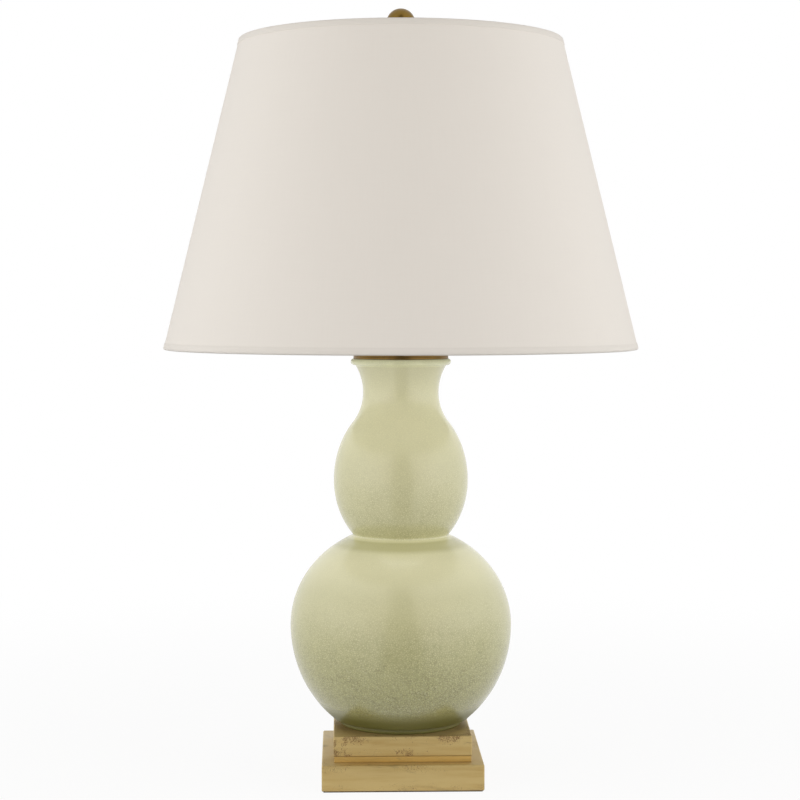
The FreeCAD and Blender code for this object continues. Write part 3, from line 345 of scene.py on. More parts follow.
def material(name):
    """A new material, its graph, its Principled BSDF and the object's own coordinates."""
    made = bpy.data.materials.new(name)
    made.use_nodes = True
    graph = Graph(made.node_tree)
    shader = made.node_tree.nodes["Principled BSDF"]
    place = graph.add("ShaderNodeTexCoord").outputs["Object"]
    return made, graph, shader, place


def feed(graph, shader, **sockets):
    """Sets or links the shader's inputs; underscores in a name stand for spaces."""
    for key, value in sockets.items():
        graph.put(shader.inputs[key.replace("_", " ")], value)


# ---- finishes ----------------------------------------------------------------------------------
def celadon_glaze(look):
    """Crackled celadon. It is paler on the shoulders and the lip, partly thinner glaze and partly painted
    light where the shade keeps the lamps off. Lower down it is darker and more crazed, partly glaze that has
    run down and partly painted shade. The crease under the waist has painted shade, and the bottom of the
    globe and the foot are darkest, partly pooled glaze and partly painted shade and reflection.
    """
    made, g, shader, place = material("celadon_crackle_glaze")
    height = g.split(place)[2]
    waist = bpy.context.scene.lamp_sizes.waist_height
    on_bulb = g.ramp(height, waist - 0.002, waist + 0.002)
    off_bulb = g.minus(1.0, on_bulb)

    def by_form(globe, bulb):
        return g.plus(g.times(globe, off_bulb), g.times(bulb, on_bulb))

    # Darker towards the bottom of the globe and of the bulb: partly glaze that ran thicker, partly painted
    # shade on the lower sides.
    run = by_form(g.ramp(height, 0.066, 0.215, 1.0, 0.0), g.ramp(height, 0.236, 0.305, 0.30, 0.0))
    thickness = by_form(g.ramp(height, 0.085, 0.205, 1.0, 0.10), g.ramp(height, 0.240, 0.325, 0.52, 0.14))
    # Darkest under the globe and on the foot: partly pooled glaze, partly painted shade and the painted
    # reflection of the plinth.
    pool_and_shade = g.ramp(height, 0.0620, 0.0800, 1.0, 0.0)
    cloud = clouds(g, place, 16.0, 0.3, 0.7)
    patch = clouds(g, place, 75.0, 0.38, 0.62)
    fine = effect(g, "crackle", {"Vector": place, "Scale": 540.0, "Width": 0.28}, "Lines")
    coarse = effect(g, "crackle", {"Vector": place, "Scale": 210.0, "Width": 0.09}, "Lines")
    grain = g.noise(place, 620.0, 2.0, 0.6)
    crazing = g.times(thickness, g.plus(g.times(patch, 0.25), 0.75))
    tone = g.mix(g.plus(run, g.times(g.minus(cloud, 0.5), 0.08), clamp=True),
                 tuple(look.glaze), tuple(look.glaze_run_and_shade))
    # Paler glaze on the globe's top, the bulb's shoulders and most of all the lip's bead: partly thinner
    # glaze, partly painted light where the shade keeps the lamps off.
    thin = g.math("MAXIMUM", g.times(g.ramp(height, waist - 0.052, waist - 0.016), off_bulb),
                  g.ramp(height, 0.300, 0.350, 0.0, 0.8))
    rim = g.ramp(height, 0.3985, 0.4005)
    # Darker band just under the waist: partly glaze gathered in the crease, partly painted shade where the
    # bulb shades the globe's top and is mirrored in it.
    crease = g.times(g.ramp(height, waist - 0.0125, waist - 0.0075),
                     g.ramp(height, waist - 0.0032, waist - 0.0012, 1.0, 0.0))
    bare_and_lit = tuple(min(c * 1.2, 0.96) for c in look.glaze_thin_and_lit)
    washed_and_lit = g.mix(rim, g.mix(thin, tone, tuple(look.glaze_thin_and_lit)), bare_and_lit)
    gathered_and_shaded = g.mix(g.times(crease, 0.6), washed_and_lit, tuple(look.glaze_run_and_shade))
    # Lays the darkest colour under the globe and on the foot, partly pooled glaze and partly painted shade.
    depth = g.mix(pool_and_shade, gathered_and_shaded, tuple(look.glaze_pooled_and_shade))
    stain = g.times(g.math("MAXIMUM", g.times(fine, 0.72), g.times(coarse, 0.45)), crazing, clamp=True)
    lined = g.mix(stain, depth, g.mix(0.95, depth, tuple(look.crackle)))
    glint = g.times(g.ramp(grain, 0.52, 0.66), g.times(crazing, 0.4))
    flecked = g.mix(g.times(glint, g.minus(1.0, pool_and_shade)), lined, tuple(look.glaze))
    relief = g.times(g.plus(fine, coarse), crazing)
    rough = g.plus(g.ramp(cloud, 0.0, 1.0, 0.17, 0.23), g.times(pool_and_shade, 0.32))
    feed(g, shader, Base_Color=flecked, Roughness=rough, IOR=1.72, Normal=g.bump(relief, 0.10, -0.0003))
    return made


def antique_brass(look, name="antique_brass", toned=(1.0, 1.0, 1.0)):
    """Burnished brass that has toned down, darker in patches and finely specked."""
    made, g, shader, place = material(name)
    # A tone below one makes a darker copy of the same brass, which is painted shade.
    brass = tuple(c * f for c, f in zip(look.brass, toned))
    tarnish = clouds(g, place, 60.0, 0.35, 0.75)
    lines = effect(g, "brushing", {"Vector": g.stretch(place, (0.12, 0.12, 3.0)), "Scale": 900.0}, "Height")
    specks = effect(g, "specks", {"Vector": place, "Scale": 900.0, "Coverage": 0.35}, "Mask")
    dull = g.mix(g.times(tarnish, 0.5), brass, tuple(c * 0.55 for c in brass))
    spotted = g.mix(g.times(specks, 0.45), dull, (0.06, 0.042, 0.022))
    feed(g, shader, Base_Color=spotted, Metallic=0.92, Roughness=g.ramp(tarnish, 0.0, 1.0, 0.30, 0.44),
         Normal=g.bump(lines, 0.12, 0.0002))
    return made


def bright_brass(look):
    made, g, shader, place = material("bright_brass")
    tarnish = clouds(g, place, 45.0, 0.4, 0.8)
    lines = effect(g, "brushing", {"Vector": g.stretch(place, (0.1, 0.1, 3.0)), "Scale": 900.0}, "Height")
    tone = g.mix(g.times(tarnish, 0.35), tuple(look.bright_brass), (0.42, 0.28, 0.11))
    feed(g, shader, Base_Color=tone, Metallic=1.0, Roughness=g.ramp(tarnish, 0.0, 1.0, 0.20, 0.34),
         Normal=g.bump(lines, 0.08, 0.0002), Coat_Weight=0.4, Coat_Roughness=0.15)
    return made


def gold_leaf(look, name, half, low, high, wear, shaded=0.0):
    """Distressed leaf over bole on one block, rubbed and pitted here and there near its edges, with a painted
    shadow line in the bole colour along its foot. A shaded share paints the leaf browner and darker as
    painted shade.
    """
    made, g, shader, place = material(name)
    shape = {"Vector": place, "Half": half, "Low": low, "High": high}
    edge = effect(g, "edges", {**shape, "Reach": 0.013}, "Mask")
    corner = effect(g, "edges", {**shape, "Reach": 0.0022}, "Mask")
    cloud = clouds(g, place, 26.0, 0.3, 0.7)
    clusters = clouds(g, place, 48.0, 0.42, 0.62)
    rubs = clouds(g, g.stretch(place, (0.22, 0.22, 1.0)), 150.0, 0.56, 0.72)
    streak = g.noise(g.stretch(place, (11.0, 11.0, 150.0)), 1.0, 4.0, 0.62)
    lean = g.times(g.times(edge, clusters), wear)
    pits = effect(g, "specks", {"Vector": place, "Scale": 980.0,
                                "Coverage": g.plus(0.24, g.times(lean, 0.75))}, "Mask")
    holes = effect(g, "specks", {"Vector": place, "Scale": 520.0, "Coverage": g.times(lean, 0.62)}, "Mask")
    # Painted shadow: a dark line in the bole colour along the block's foot.
    painted_shadow_line = g.ramp(g.minus(g.split(place)[2], low), 0.0, 0.0013, 0.75, 0.0)
    deep = tuple(c * f for c, f in zip(look.leaf, (0.82, 0.71, 0.52)))
    pale = tuple(c * f for c, f in zip(look.leaf, (1.07, 1.11, 1.18)))
    # A shaded share makes the leaf browner and darker: painted shade and reflection.
    base = tuple(c * (1 - shaded + shaded * f) for c, f in zip(look.leaf, (1.15, 0.99, 0.64)))
    dull = tuple(c * 0.55 for c in look.leaf)
    tone = g.mix(g.ramp(streak, 0.38, 0.70, 0.0, 0.75), base, deep)
    clouded = g.mix(g.times(cloud, 0.5 * (1 - shaded)), tone, pale)
    rubbed = g.mix(g.times(g.times(edge, rubs), 0.6), clouded, dull)
    brightened = g.mix(g.times(corner, 0.22), rubbed, pale)
    # Real pits and holes together with the painted shadow line along the foot.
    marks_and_shadow_line = g.math("MAXIMUM", g.math("MAXIMUM", pits, holes), painted_shadow_line)
    worn_and_shadowed = g.mix(g.times(marks_and_shadow_line, 0.86), brightened, tuple(look.bole))
    relief = g.minus(g.times(g.noise(place, 110.0, 5.0, 0.6), 0.7), marks_and_shadow_line)
    feed(g, shader, Base_Color=worn_and_shadowed, Metallic=g.ramp(marks_and_shadow_line, 0.0, 1.0, 0.50, 0.1),
         Roughness=g.ramp(cloud, 0.0, 1.0, 0.44, 0.58), Normal=g.bump(relief, 0.4, 0.0005),
         Coat_Weight=0.12, Coat_Roughness=0.4)
    return made


def linen(look):
    made, g, shader, place = material("off_white_linen")
    cloth = g.add("ShaderNodeUVMap", uv_map="cloth").outputs[0]
    height = effect(g, "weave", {"Vector": cloth, "Threads": 1500.0}, "Height")
    slubs = effect(g, "weave", {"Vector": cloth, "Threads": 1500.0}, "Slubs")
    cloud = clouds(g, place, 9.0, 0.3, 0.7)
    tone = g.mix(g.ramp(slubs, 0.4, 0.64, 0.0, 0.3), tuple(look.linen), tuple(c * 0.965 for c in look.linen))
    soft = g.mix(g.times(cloud, 0.25), tone, tuple(c * 0.985 for c in look.linen))
    feed(g, shader, Base_Color=soft, Roughness=0.92, Sheen_Weight=0.12, Sheen_Roughness=0.5,
         Specular_IOR_Level=0.25, Normal=g.bump(height, 0.12, 0.0003))
    return made


def linen_tape(look):
    made, g, shader, place = material("linen_tape")
    cloth = g.add("ShaderNodeUVMap", uv_map="cloth").outputs[0]
    height = effect(g, "weave", {"Vector": cloth, "Threads": 1900.0}, "Height")
    cloud = clouds(g, place, 30.0, 0.3, 0.7)
    tone = g.mix(g.times(cloud, 0.3), tuple(c * 0.95 for c in look.linen),
                 tuple(c * 0.91 for c in look.linen))
    feed(g, shader, Base_Color=tone, Roughness=0.9, Sheen_Weight=0.1, Specular_IOR_Level=0.2,
         Normal=g.bump(height, 0.25, 0.0003))
    return made


def shade_lining(look):
    made, g, shader, place = material("styrene_lining")
    grain = g.noise(place, 380.0, 4.0, 0.6)
    cloud = clouds(g, place, 6.0, 0.3, 0.7)
    tone = g.mix(g.times(cloud, 0.3), (0.86, 0.85, 0.82), (0.83, 0.81, 0.76))
    feed(g, shader, Base_Color=tone, Roughness=g.ramp(grain, 0.3, 0.7, 0.42, 0.55),
         Normal=g.bump(grain, 0.06, 0.0002))
    return made


def wool_felt(look):
    made, g, shader, place = material("wool_felt")
    fibre = g.noise(place, 1500.0, 6.0, 0.75, 1.2)
    cloud = clouds(g, place, 60.0, 0.3, 0.7)
    tone = g.mix(fibre, (0.030, 0.022, 0.018), (0.075, 0.055, 0.045))
    feed(g, shader, Base_Color=g.mix(g.times(cloud, 0.3), tone, (0.045, 0.033, 0.028)),
         Roughness=1.0, Sheen_Weight=0.4, Sheen_Roughness=0.6, Normal=g.bump(fibre, 0.6, 0.0006))
    return made


def metal(name, base, dull, low, high, stretch=(1.0, 1.0, 1.0)):
    """A plain plated metal with drawn lines and a little tarnish."""
    made, g, shader, place = material(name)
    tarnish = clouds(g, place, 70.0, 0.4, 0.8)
    lines = effect(g, "brushing", {"Vector": g.stretch(place, stretch), "Scale": 700.0}, "Height")
    feed(g, shader, Base_Color=g.mix(tarnish, base, dull), Metallic=1.0,
         Roughness=g.ramp(tarnish, 0.0, 1.0, low, high), Normal=g.bump(lines, 0.1, 0.0002))
    return made


def moulded(name, base, rough):
    """Pressed phenolic or enamel: a close even grain with a faint flow."""
    made, g, shader, place = material(name)
    flow = clouds(g, place, 90.0, 0.3, 0.7)
    grain = g.noise(place, 1400.0, 3.0, 0.6)
    feed(g, shader, Base_Color=g.mix(flow, base, tuple(c * 0.8 + 0.01 for c in base)),
         Roughness=g.ramp(grain, 0.3, 0.7, rough, rough + 0.12), Coat_Weight=0.2,
         Normal=g.bump(grain, 0.08, 0.0002))
    return made


def insulating_card(look):
    made, g, shader, place = material("insulating_card")
    fibre = g.noise(g.stretch(place, (1.0, 1.0, 0.25)), 900.0, 5.0, 0.7)
    feed(g, shader, Base_Color=g.mix(fibre, (0.20, 0.11, 0.05), (0.36, 0.23, 0.12)), Roughness=0.7,
         Normal=g.bump(fibre, 0.3, 0.0003))
    return made


def frosted_glass(look):
    made, g, shader, place = material("frosted_glass")
    frost = g.noise(place, 1100.0, 3.0, 0.6)
    feed(g, shader, Base_Color=g.mix(frost, (0.90, 0.90, 0.89), (0.96, 0.96, 0.95)),
         Roughness=g.ramp(frost, 0.3, 0.7, 0.40, 0.52), IOR=1.5, Transmission_Weight=0.55,
         Coat_Weight=0.6, Coat_Roughness=0.06, Normal=g.bump(frost, 0.05, 0.0002))
    return made


FINISH_MAKERS = {
    "glaze": celadon_glaze,
    "antique_brass": antique_brass,
    # The finial's brass is a darker copy of the cap's: painted shade on a finial that the lamps light more.
    "shaded_finial_brass": lambda look: antique_brass(look, "shaded_finial_brass", (0.78, 0.78, 0.55)),
    "bright_brass": bright_brass,
    "linen": linen,
    "tape": linen_tape,
    "lining": shade_lining,
    "felt": wool_felt,
    "card": insulating_card,
    "glass": frosted_glass,
    "plated_steel": lambda look: metal("brass_plated_steel", (0.60, 0.45, 0.20), (0.40, 0.28, 0.12),
                                       0.26, 0.42),
    "zinc_steel": lambda look: metal("zinc_plated_steel", (0.62, 0.62, 0.60), (0.42, 0.42, 0.42),
                                     0.30, 0.46),
    "aluminium": lambda look: metal("rolled_aluminium", (0.80, 0.80, 0.80), (0.60, 0.60, 0.61),
                                    0.22, 0.34, (0.15, 0.15, 3.0)),
    "enamel": lambda look: moulded("white_enamel", (0.80, 0.79, 0.76), 0.25),
    "phenolic": lambda look: moulded("black_phenolic", (0.012, 0.011, 0.010), 0.28),
}
MADE = {}


def finish(name):
    if name not in MADE:
        MADE[name] = FINISH_MAKERS[name](bpy.context.scene.lamp_finishes)
    return MADE[name]


# ---- mesh helpers ------------------------------------------------------------------------------
def arc(centre, radius, start, end, steps, stretch=1.0):
    """Points on an arc about (r, z), angles in degrees; stretch makes it an ellipse."""
    found = []
    for i in range(steps + 1):
        turn = math.radians(start + (end - start) * i / steps)
        found.append((centre[0] + radius * math.cos(turn), centre[1] + radius * stretch * math.sin(turn)))
    return found


def spin_outline(outline, steps, angle=FULL_TURN, start=0.0, close=False):
    """A bmesh of an outline of (radius, height) points turned about the lamp's axis."""
    bm = bmesh.new()
    spot = Vector((math.cos(start), math.sin(start), 0))
    verts = [bm.verts.new(spot * r + Vector((0, 0, z))) for r, z in outline]
    edges = [bm.edges.new(pair) for pair in zip(verts[:-1], verts[1:])]
    if close:
        edges.append(bm.edges.new((verts[-1], verts[0])))
    bmesh.ops.spin(bm, geom=verts + edges, cent=(0, 0, 0), axis=(0, 0, 1), dvec=(0, 0, 0), angle=angle,
                   steps=steps, use_merge=angle >= FULL_TURN, use_duplicate=False)
    tidy(bm)
    return bm


def tidy(bm):
    """Merges doubled points and turns all faces outwards."""
    bmesh.ops.remove_doubles(bm, verts=bm.verts, dist=1e-6)
    bmesh.ops.dissolve_degenerate(bm, edges=bm.edges, dist=1e-6)
    bmesh.ops.recalc_face_normals(bm, faces=bm.faces)


def bevel_where(bm, test, offset, segments):
    """Rounds the edges that pass a test."""
    chosen = [e for e in bm.edges if test(e)]
    bmesh.ops.bevel(bm, geom=chosen, offset=offset, offset_type="OFFSET", affect="EDGES", segments=segments,
                    profile=0.5, material=-1, clamp_overlap=True)


def level_ring(radius, height):
    """A test for the edges of one level circle of a turned piece."""
    def test(edge):
        return all(abs(v.co.z - height) < 2e-5 and abs(v.co.xy.length - radius) < 2e-5 for v in edge.verts)
    return test


def make_piece(bm, name, body, finishes, replaces=(), sharp=35.0):
    """Turns a bmesh into a finished object that rides on a body."""
    limit = math.radians(sharp)
    for face in bm.faces:
        face.smooth = True
    for edge in bm.edges:
        edge.smooth = len(edge.link_faces) == 2 and edge.calc_face_angle(0.0) < limit
    mesh = bpy.data.meshes.new(name)
    bm.to_mesh(mesh)
    bm.free()
    made = bpy.data.objects.new(name, mesh)
    bpy.context.scene.collection.objects.link(made)
    for label in finishes:
        mesh.materials.append(finish(label))
    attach(made, body)
    if replaces:
        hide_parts(*replaces)
    return made


def merged_copy(node):
    """A bmesh of a CAD node's own mesh with its loose triangles merged."""
    bm = bmesh.new()
    bm.from_mesh(frame["nodes"][node].data)
    bmesh.ops.remove_doubles(bm, verts=bm.verts, dist=2e-6)
    return bm


def dress(node, label, sharp=32.0):
    """A smooth-shaded copy of a CAD node in one of the finishes, in the node's place."""
    body = frame["nodes"][node]["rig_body"]
    return make_piece(merged_copy(node), f"{node}_dressed", body, [label], [node], sharp)


def rows(radius, low, high, step):
    """Closely spaced points up a cylinder, for a thread to be rolled into."""
    count = max(2, round((high - low) / step))
    return [(radius, low + (high - low) * i / count) for i in range(count + 1)]


def roll_thread(bm, radius, depth, pitch, low, high):
    """Rolls a rounded right-handed thread into a spun cylinder between two heights."""
    for vert in bm.verts:
        x, y, z = vert.co
        if low < z < high and abs(math.hypot(x, y) - radius) < 1e-5:
            wave = 0.5 - 0.5 * math.cos(FULL_TURN * (z - low) / pitch - math.atan2(y, x))
            fade = min(1.0, (z - low) / (pitch * 0.5), (high - z) / (pitch * 0.5))
            share = 1 - depth * wave * fade / radius
            vert.co.x, vert.co.y = x * share, y * share


def cloth_map(bm, radius, base):
    """Gives a turned piece a map in metres: round its mean radius, and up from its base."""
    layer = bm.loops.layers.uv.new("cloth")
    for face in bm.faces:
        middle = face.calc_center_median()
        around = math.atan2(middle.y, middle.x)
        for loop in face.loops:
            turn = math.atan2(loop.vert.co.y, loop.vert.co.x)
            turn += FULL_TURN * round((around - turn) / FULL_TURN)
            loop[layer].uv = (turn * radius, loop.vert.co.z - base)


# ---- pieces ------------------------------------------------------------------------------------
def gourd_outline(size, low, high):
    """The gourd from its foot to its mouth, as (radius, height) points."""
    waist = size.waist_height
    globe_level = waist - size.globe_crown * math.sqrt(1 - (size.waist_radius / size.globe_radius) ** 2)
    bulb_level = waist + size.bulb_keel * math.sqrt(1 - (size.waist_radius / size.bulb_radius) ** 2)
    foot_top = low + size.foot_height
    keel_start = -math.degrees(math.acos(size.globe_hem / size.globe_radius))
    hem_level = globe_level + size.globe_keel * math.sin(math.radians(keel_start))
    crown_end = math.degrees(math.acos(size.waist_radius / size.globe_radius))
    keel_end = -math.degrees(math.acos(size.waist_radius / size.bulb_radius))
    inner = size.foot_radius - 0.002
    points = [(0, low + FOOT_HOLLOW_DEPTH), (FOOT_HOLLOW_RADIUS, low + FOOT_HOLLOW_DEPTH),
              (FOOT_HOLLOW_RADIUS, low), (size.foot_radius - FOOT_ROUND, low)]
    points += arc((size.foot_radius - FOOT_ROUND, low + FOOT_ROUND), FOOT_ROUND, -90, 0, 4)[1:]
    points += [(size.foot_radius, foot_top - 0.0008), (size.foot_radius - 0.0007, foot_top)]
    points += [(inner, foot_top + 0.0003), (inner, foot_top + GROOVE - 0.0004)]
    points += [(inner + 0.0012, foot_top + GROOVE), (size.globe_hem - 0.0032, hem_level - 0.0026)]
    points += [(size.globe_hem - 0.0011, hem_level - 0.0013)]
    points += arc((0, globe_level), size.globe_radius, keel_start, 0, 34, size.globe_keel / size.globe_radius)
    points += arc((0, globe_level), size.globe_radius, 0, crown_end, 34,
                  size.globe_crown / size.globe_radius)[1:-2]
    points += [(size.waist_radius, waist)]
    points += arc((0, bulb_level), size.bulb_radius, keel_end, 0, 22, size.bulb_keel / size.bulb_radius)[2:]
    shoulder = math.radians(SHOULDER_ANGLE)
    ratio = size.bulb_crown / size.bulb_radius
    points += arc((0, bulb_level), size.bulb_radius, 0, SHOULDER_ANGLE, 18, ratio)[1:]
    slope = math.atan2(size.bulb_radius * math.sin(shoulder), size.bulb_crown * math.cos(shoulder))
    cove = (points[-1][0] - size.neck_radius) / (1 - math.cos(slope))
    neck = points[-1][1] + cove * math.sin(slope)
    points += arc((size.neck_radius + cove, neck), cove, 180 + math.degrees(slope), 180, 12)[1:]
    rise = high - 2 * size.lip_bead - neck
    flare = math.degrees(math.asin(min(0.9, rise / size.neck_flare)))
    points += arc((size.neck_radius + size.neck_flare, neck), size.neck_flare, 180, 180 - flare, 14)[1:]
    bead = (size.lip_radius - size.lip_bead, high - size.lip_bead)
    points += arc(bead, size.lip_bead, -80, 90, 10)
    return points + [(0.030, high), (0.0275, high - 0.0012), (MOUTH_RADIUS, high - 0.004),
                     (MOUTH_RADIUS, high - MOUTH_DEPTH), (0, high - MOUTH_DEPTH)]


class LAMP_OT_gourd(bpy.types.Operator):
    """Turn the double gourd with its foot ring, waist and lip"""
    bl_idname = "lamp.gourd"
    bl_label = "Glazed Gourd"

    def execute(self, context):
        size = context.scene.lamp_sizes
        low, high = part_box("gourd_body")
        bm = spin_outline(gourd_outline(size, low.z, high.z), 160)
        bevel_where(bm, level_ring(size.waist_radius, size.waist_height), 0.0022, 5)
        make_piece(bm, "gourd", "lamp_base", ["glaze"], ["gourd_body"], 50.0)
        return {"FINISHED"}


class LAMP_OT_cap(bpy.types.Operator):
    """Spin the brass cap over the gourd's mouth and turn the neck above it"""
    bl_idname = "lamp.cap"
    bl_label = "Brass Cap and Neck"

    def execute(self, context):
        low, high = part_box("vase_cap")
        radius = high.x
        points = [(radius - 0.0022, low.z), (radius - 0.0007, low.z)]
        points += arc((radius - 0.0008, low.z + 0.0008), 0.0008, -90, 0, 4)[1:]
        points += [(radius, low.z + 0.0016), (radius - 0.0003, low.z + 0.0019), (radius, low.z + 0.0022)]
        points += arc((radius - 0.003, low.z + 0.0034), 0.003, 0, 90, 8)
        points += [(radius * 0.72, low.z + 0.0098), (radius * 0.5, low.z + 0.0133),
                   (radius * 0.36, low.z + 0.0150), (0.011, high.z), (0.0054, high.z),
                   (0.0054, high.z - 0.0012), (0.011, high.z - 0.0012), (radius * 0.5, low.z + 0.0120),
                   (radius - 0.003, low.z + 0.0052), (radius - 0.0012, low.z + 0.003)]
        bm = spin_outline(points, 128, close=True)
        make_piece(bm, "brass_cap", "lamp_base", ["antique_brass"], ["vase_cap"], 40.0)
        low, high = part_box("neck_spacer")
        middle = (low.z + high.z) / 2
        wide = high.x
        points = [(0.0054, low.z), (wide - 0.0004, low.z), (wide, low.z + 0.0004), (wide, low.z + 0.0022)]
        points += arc((wide - 0.0006, low.z + 0.0030), 0.0008, -60, 60, 4)
        points += [(wide - 0.0013, low.z + 0.0042), (wide - 0.0022, middle), (wide - 0.0013, high.z - 0.0042)]
        points += arc((wide - 0.0006, high.z - 0.0030), 0.0008, -60, 60, 4)
        points += [(wide, high.z - 0.0022), (wide, high.z - 0.0004), (wide - 0.0004, high.z),
                   (0.0054, high.z)]
        bm = spin_outline(points, 64, close=True)
        make_piece(bm, "turned_neck", "lamp_base", ["antique_brass"], ["neck_spacer"], 30.0)
        return {"FINISHED"}


class LAMP_OT_plinth(bpy.types.Operator):
    """Cut the two gilded blocks and lay the felt under them"""
    bl_idname = "lamp.plinth"
    bl_label = "Gilded Plinth"

    def block(self, side, low, high, edge_round):
        """A square block with softened edges."""
        bm = bmesh.new()
        bmesh.ops.create_cube(bm, size=1.0)
        bmesh.ops.scale(bm, vec=(side, side, high - low), verts=bm.verts)
        bmesh.ops.translate(bm, vec=(0, 0, (low + high) / 2), verts=bm.verts)
        bevel_where(bm, lambda e: True, edge_round, 4)
        return bm

    def execute(self, context):
        look = context.scene.lamp_finishes
        edge_round = context.scene.lamp_sizes.edge_round
        low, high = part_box("lower_plinth")
        MADE["lower_leaf"] = gold_leaf(look, "gold_leaf_lower", high.x, low.z, high.z, 0.55)
        bm = self.block(2 * high.x, low.z, high.z, edge_round)
        make_piece(bm, "lower_block", "lamp_base", ["lower_leaf"], ["lower_plinth"])
        low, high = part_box("upper_plinth")
        reveal = low.z + REVEAL_HEIGHT
        MADE["upper_leaf"] = gold_leaf(look, "gold_leaf_upper", high.x, reveal, high.z, 0.85)
        bm = self.block(2 * high.x, reveal, high.z, edge_round)
        make_piece(bm, "upper_block", "lamp_base", ["upper_leaf"], ["upper_plinth"])
        # The reveal's leaf is painted browner and darker: painted shade and the reflection of the block above
        # it.
        MADE["reveal_leaf"] = gold_leaf(look, "gold_leaf_reveal", high.x, low.z, high.z, 0.2, 0.85)
        bm = self.block(2 * (high.x - REVEAL_DEPTH), low.z, reveal + 0.001, 0.0002)
        make_piece(bm, "shadow_reveal", "lamp_base", ["reveal_leaf"])
        low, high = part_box("felt_pad")
        bm = self.block(2 * high.x, low.z, high.z, 0.0003)
        make_piece(bm, "felt", "lamp_base", ["felt"], ["felt_pad"])
        return {"FINISHED"}


class LAMP_OT_hardware(bpy.types.Operator):
    """Dress the pipe, its nuts and washer, the wood screws and the cord bushing"""
    bl_idname = "lamp.hardware"
    bl_label = "Pipe, Nuts and Cord Inlet"

    def execute(self, context):
        for node in ("lamp_pipe", "bottom_washer", "bottom_nut", "saddle_nut", "plinth_screws"):
            dress(node, "zinc_steel")
        dress("cord_bushing", "antique_brass")
        return {"FINISHED"}


class LAMP_OT_shade(bpy.types.Operator):
    """Roll the linen shade, fold its tapes over the rims and lap its seam at the back"""
    bl_idname = "lamp.shade"
    bl_label = "Linen Shade"

    def execute(self, context):
        size = context.scene.lamp_sizes
        low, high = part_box("shade_cover")
        bottom, top = low.z, high.z
        wide = high.x
        narrow = max(v.co.xy.length for v in frame["nodes"]["shade_cover"].data.vertices
                     if v.co.z > top - 0.003)
        slope = Vector((narrow - wide, top - bottom)).normalized()
        out = Vector((slope.y, -slope.x))

        def wall(share, depth):
            """A point share of the way up the wall and depth inside its outer face."""
            spot = Vector((wide, bottom)).lerp(Vector((narrow, top)), share) - out * depth
            return tuple(spot)

        inset = RIM_INSET / (top - bottom)
        steps = 24
        shares = [inset + (1 - 2 * inset) * i / steps for i in range(steps + 1)]
        outer = [wall(share, SHADE_SKIN) for share in shares]
        inner = [wall(share, SHADE_SKIN + SHADE_THICKNESS) for share in shares]
        bm = spin_outline(outer + inner[::-1], 192, close=True)
        cloth_map(bm, (wide + narrow) / 2, bottom)
        for face in bm.faces:
            middle = face.calc_center_median()
            face.material_index = 1 if face.normal.xy.dot(middle.xy) < 0 else 0
        cover = make_piece(bm, "linen_shade", "shade", ["linen", "lining"], ["shade_cover"])
        trims = [self.tape(name, wall, share, sign, size, top - bottom, (wide + narrow) / 2, bottom)
                 for name, share, sign in (("bottom_tape", 0.0, 1), ("top_tape", 1.0, -1))]
        trims.append(self.seam(wall, size, (wide + narrow) / 2, bottom, top))
        for node, label in (("shade_top_ring", "enamel"), ("shade_bottom_ring", "enamel"),
                            ("spider_arms", "plated_steel"), ("spider_washer", "plated_steel")):
            dress(node, label)
        return {"FINISHED"}

    def tape(self, name, wall, share, sign, size, tall, radius, base):
        """The tape folded over one rim, thicker where it wraps the wire ring."""
        step = 1 / tall
        lining = SHADE_SKIN + SHADE_THICKNESS
        outside, inside = -size.hem_proud + SHADE_SKIN, lining + RING_WRAP
        section = [(size.hem_width, SHADE_SKIN), (size.hem_width, outside + 0.0001),
                   (size.hem_width - 0.0005, outside), (0.0012, outside), (0.0004, outside + 0.0005),
                   (0.0, outside + 0.0014), (0.0002, inside - 0.0010), (0.0010, inside - 0.0002),
                   (0.0030, inside), (0.0042, inside - 0.0006), (0.0066, lining + 0.0004),
                   (size.hem_width + 0.004, lining + 0.0003), (size.hem_width + 0.004, lining)]
        outline = [wall(share + sign * along * step, depth) for along, depth in section]
        bm = spin_outline(outline, 192, close=True)
        cloth_map(bm, radius, base)
        return make_piece(bm, name, "shade", ["tape"], sharp=60.0)

    def seam(self, wall, size, radius, bottom, top):
        """The lapped seam that closes the shade at the back."""
        edge = (size.hem_width + 0.0002) / (top - bottom)
        steps = 16
        shares = [edge + (1 - 2 * edge) * i / steps for i in range(steps + 1)]
        outline = [wall(s, -0.0003) for s in shares] + [wall(s, 0.0004) for s in shares[::-1]]
        turn = SEAM_WIDTH / radius
        bm = spin_outline(outline, 6, angle=turn, start=math.pi / 2 - turn / 2, close=True)
        bmesh.ops.holes_fill(bm, edges=[e for e in bm.edges if e.is_boundary], sides=0)
        tidy(bm)
        cloth_map(bm, radius, bottom)
        return make_piece(bm, "back_seam", "shade", ["linen"])


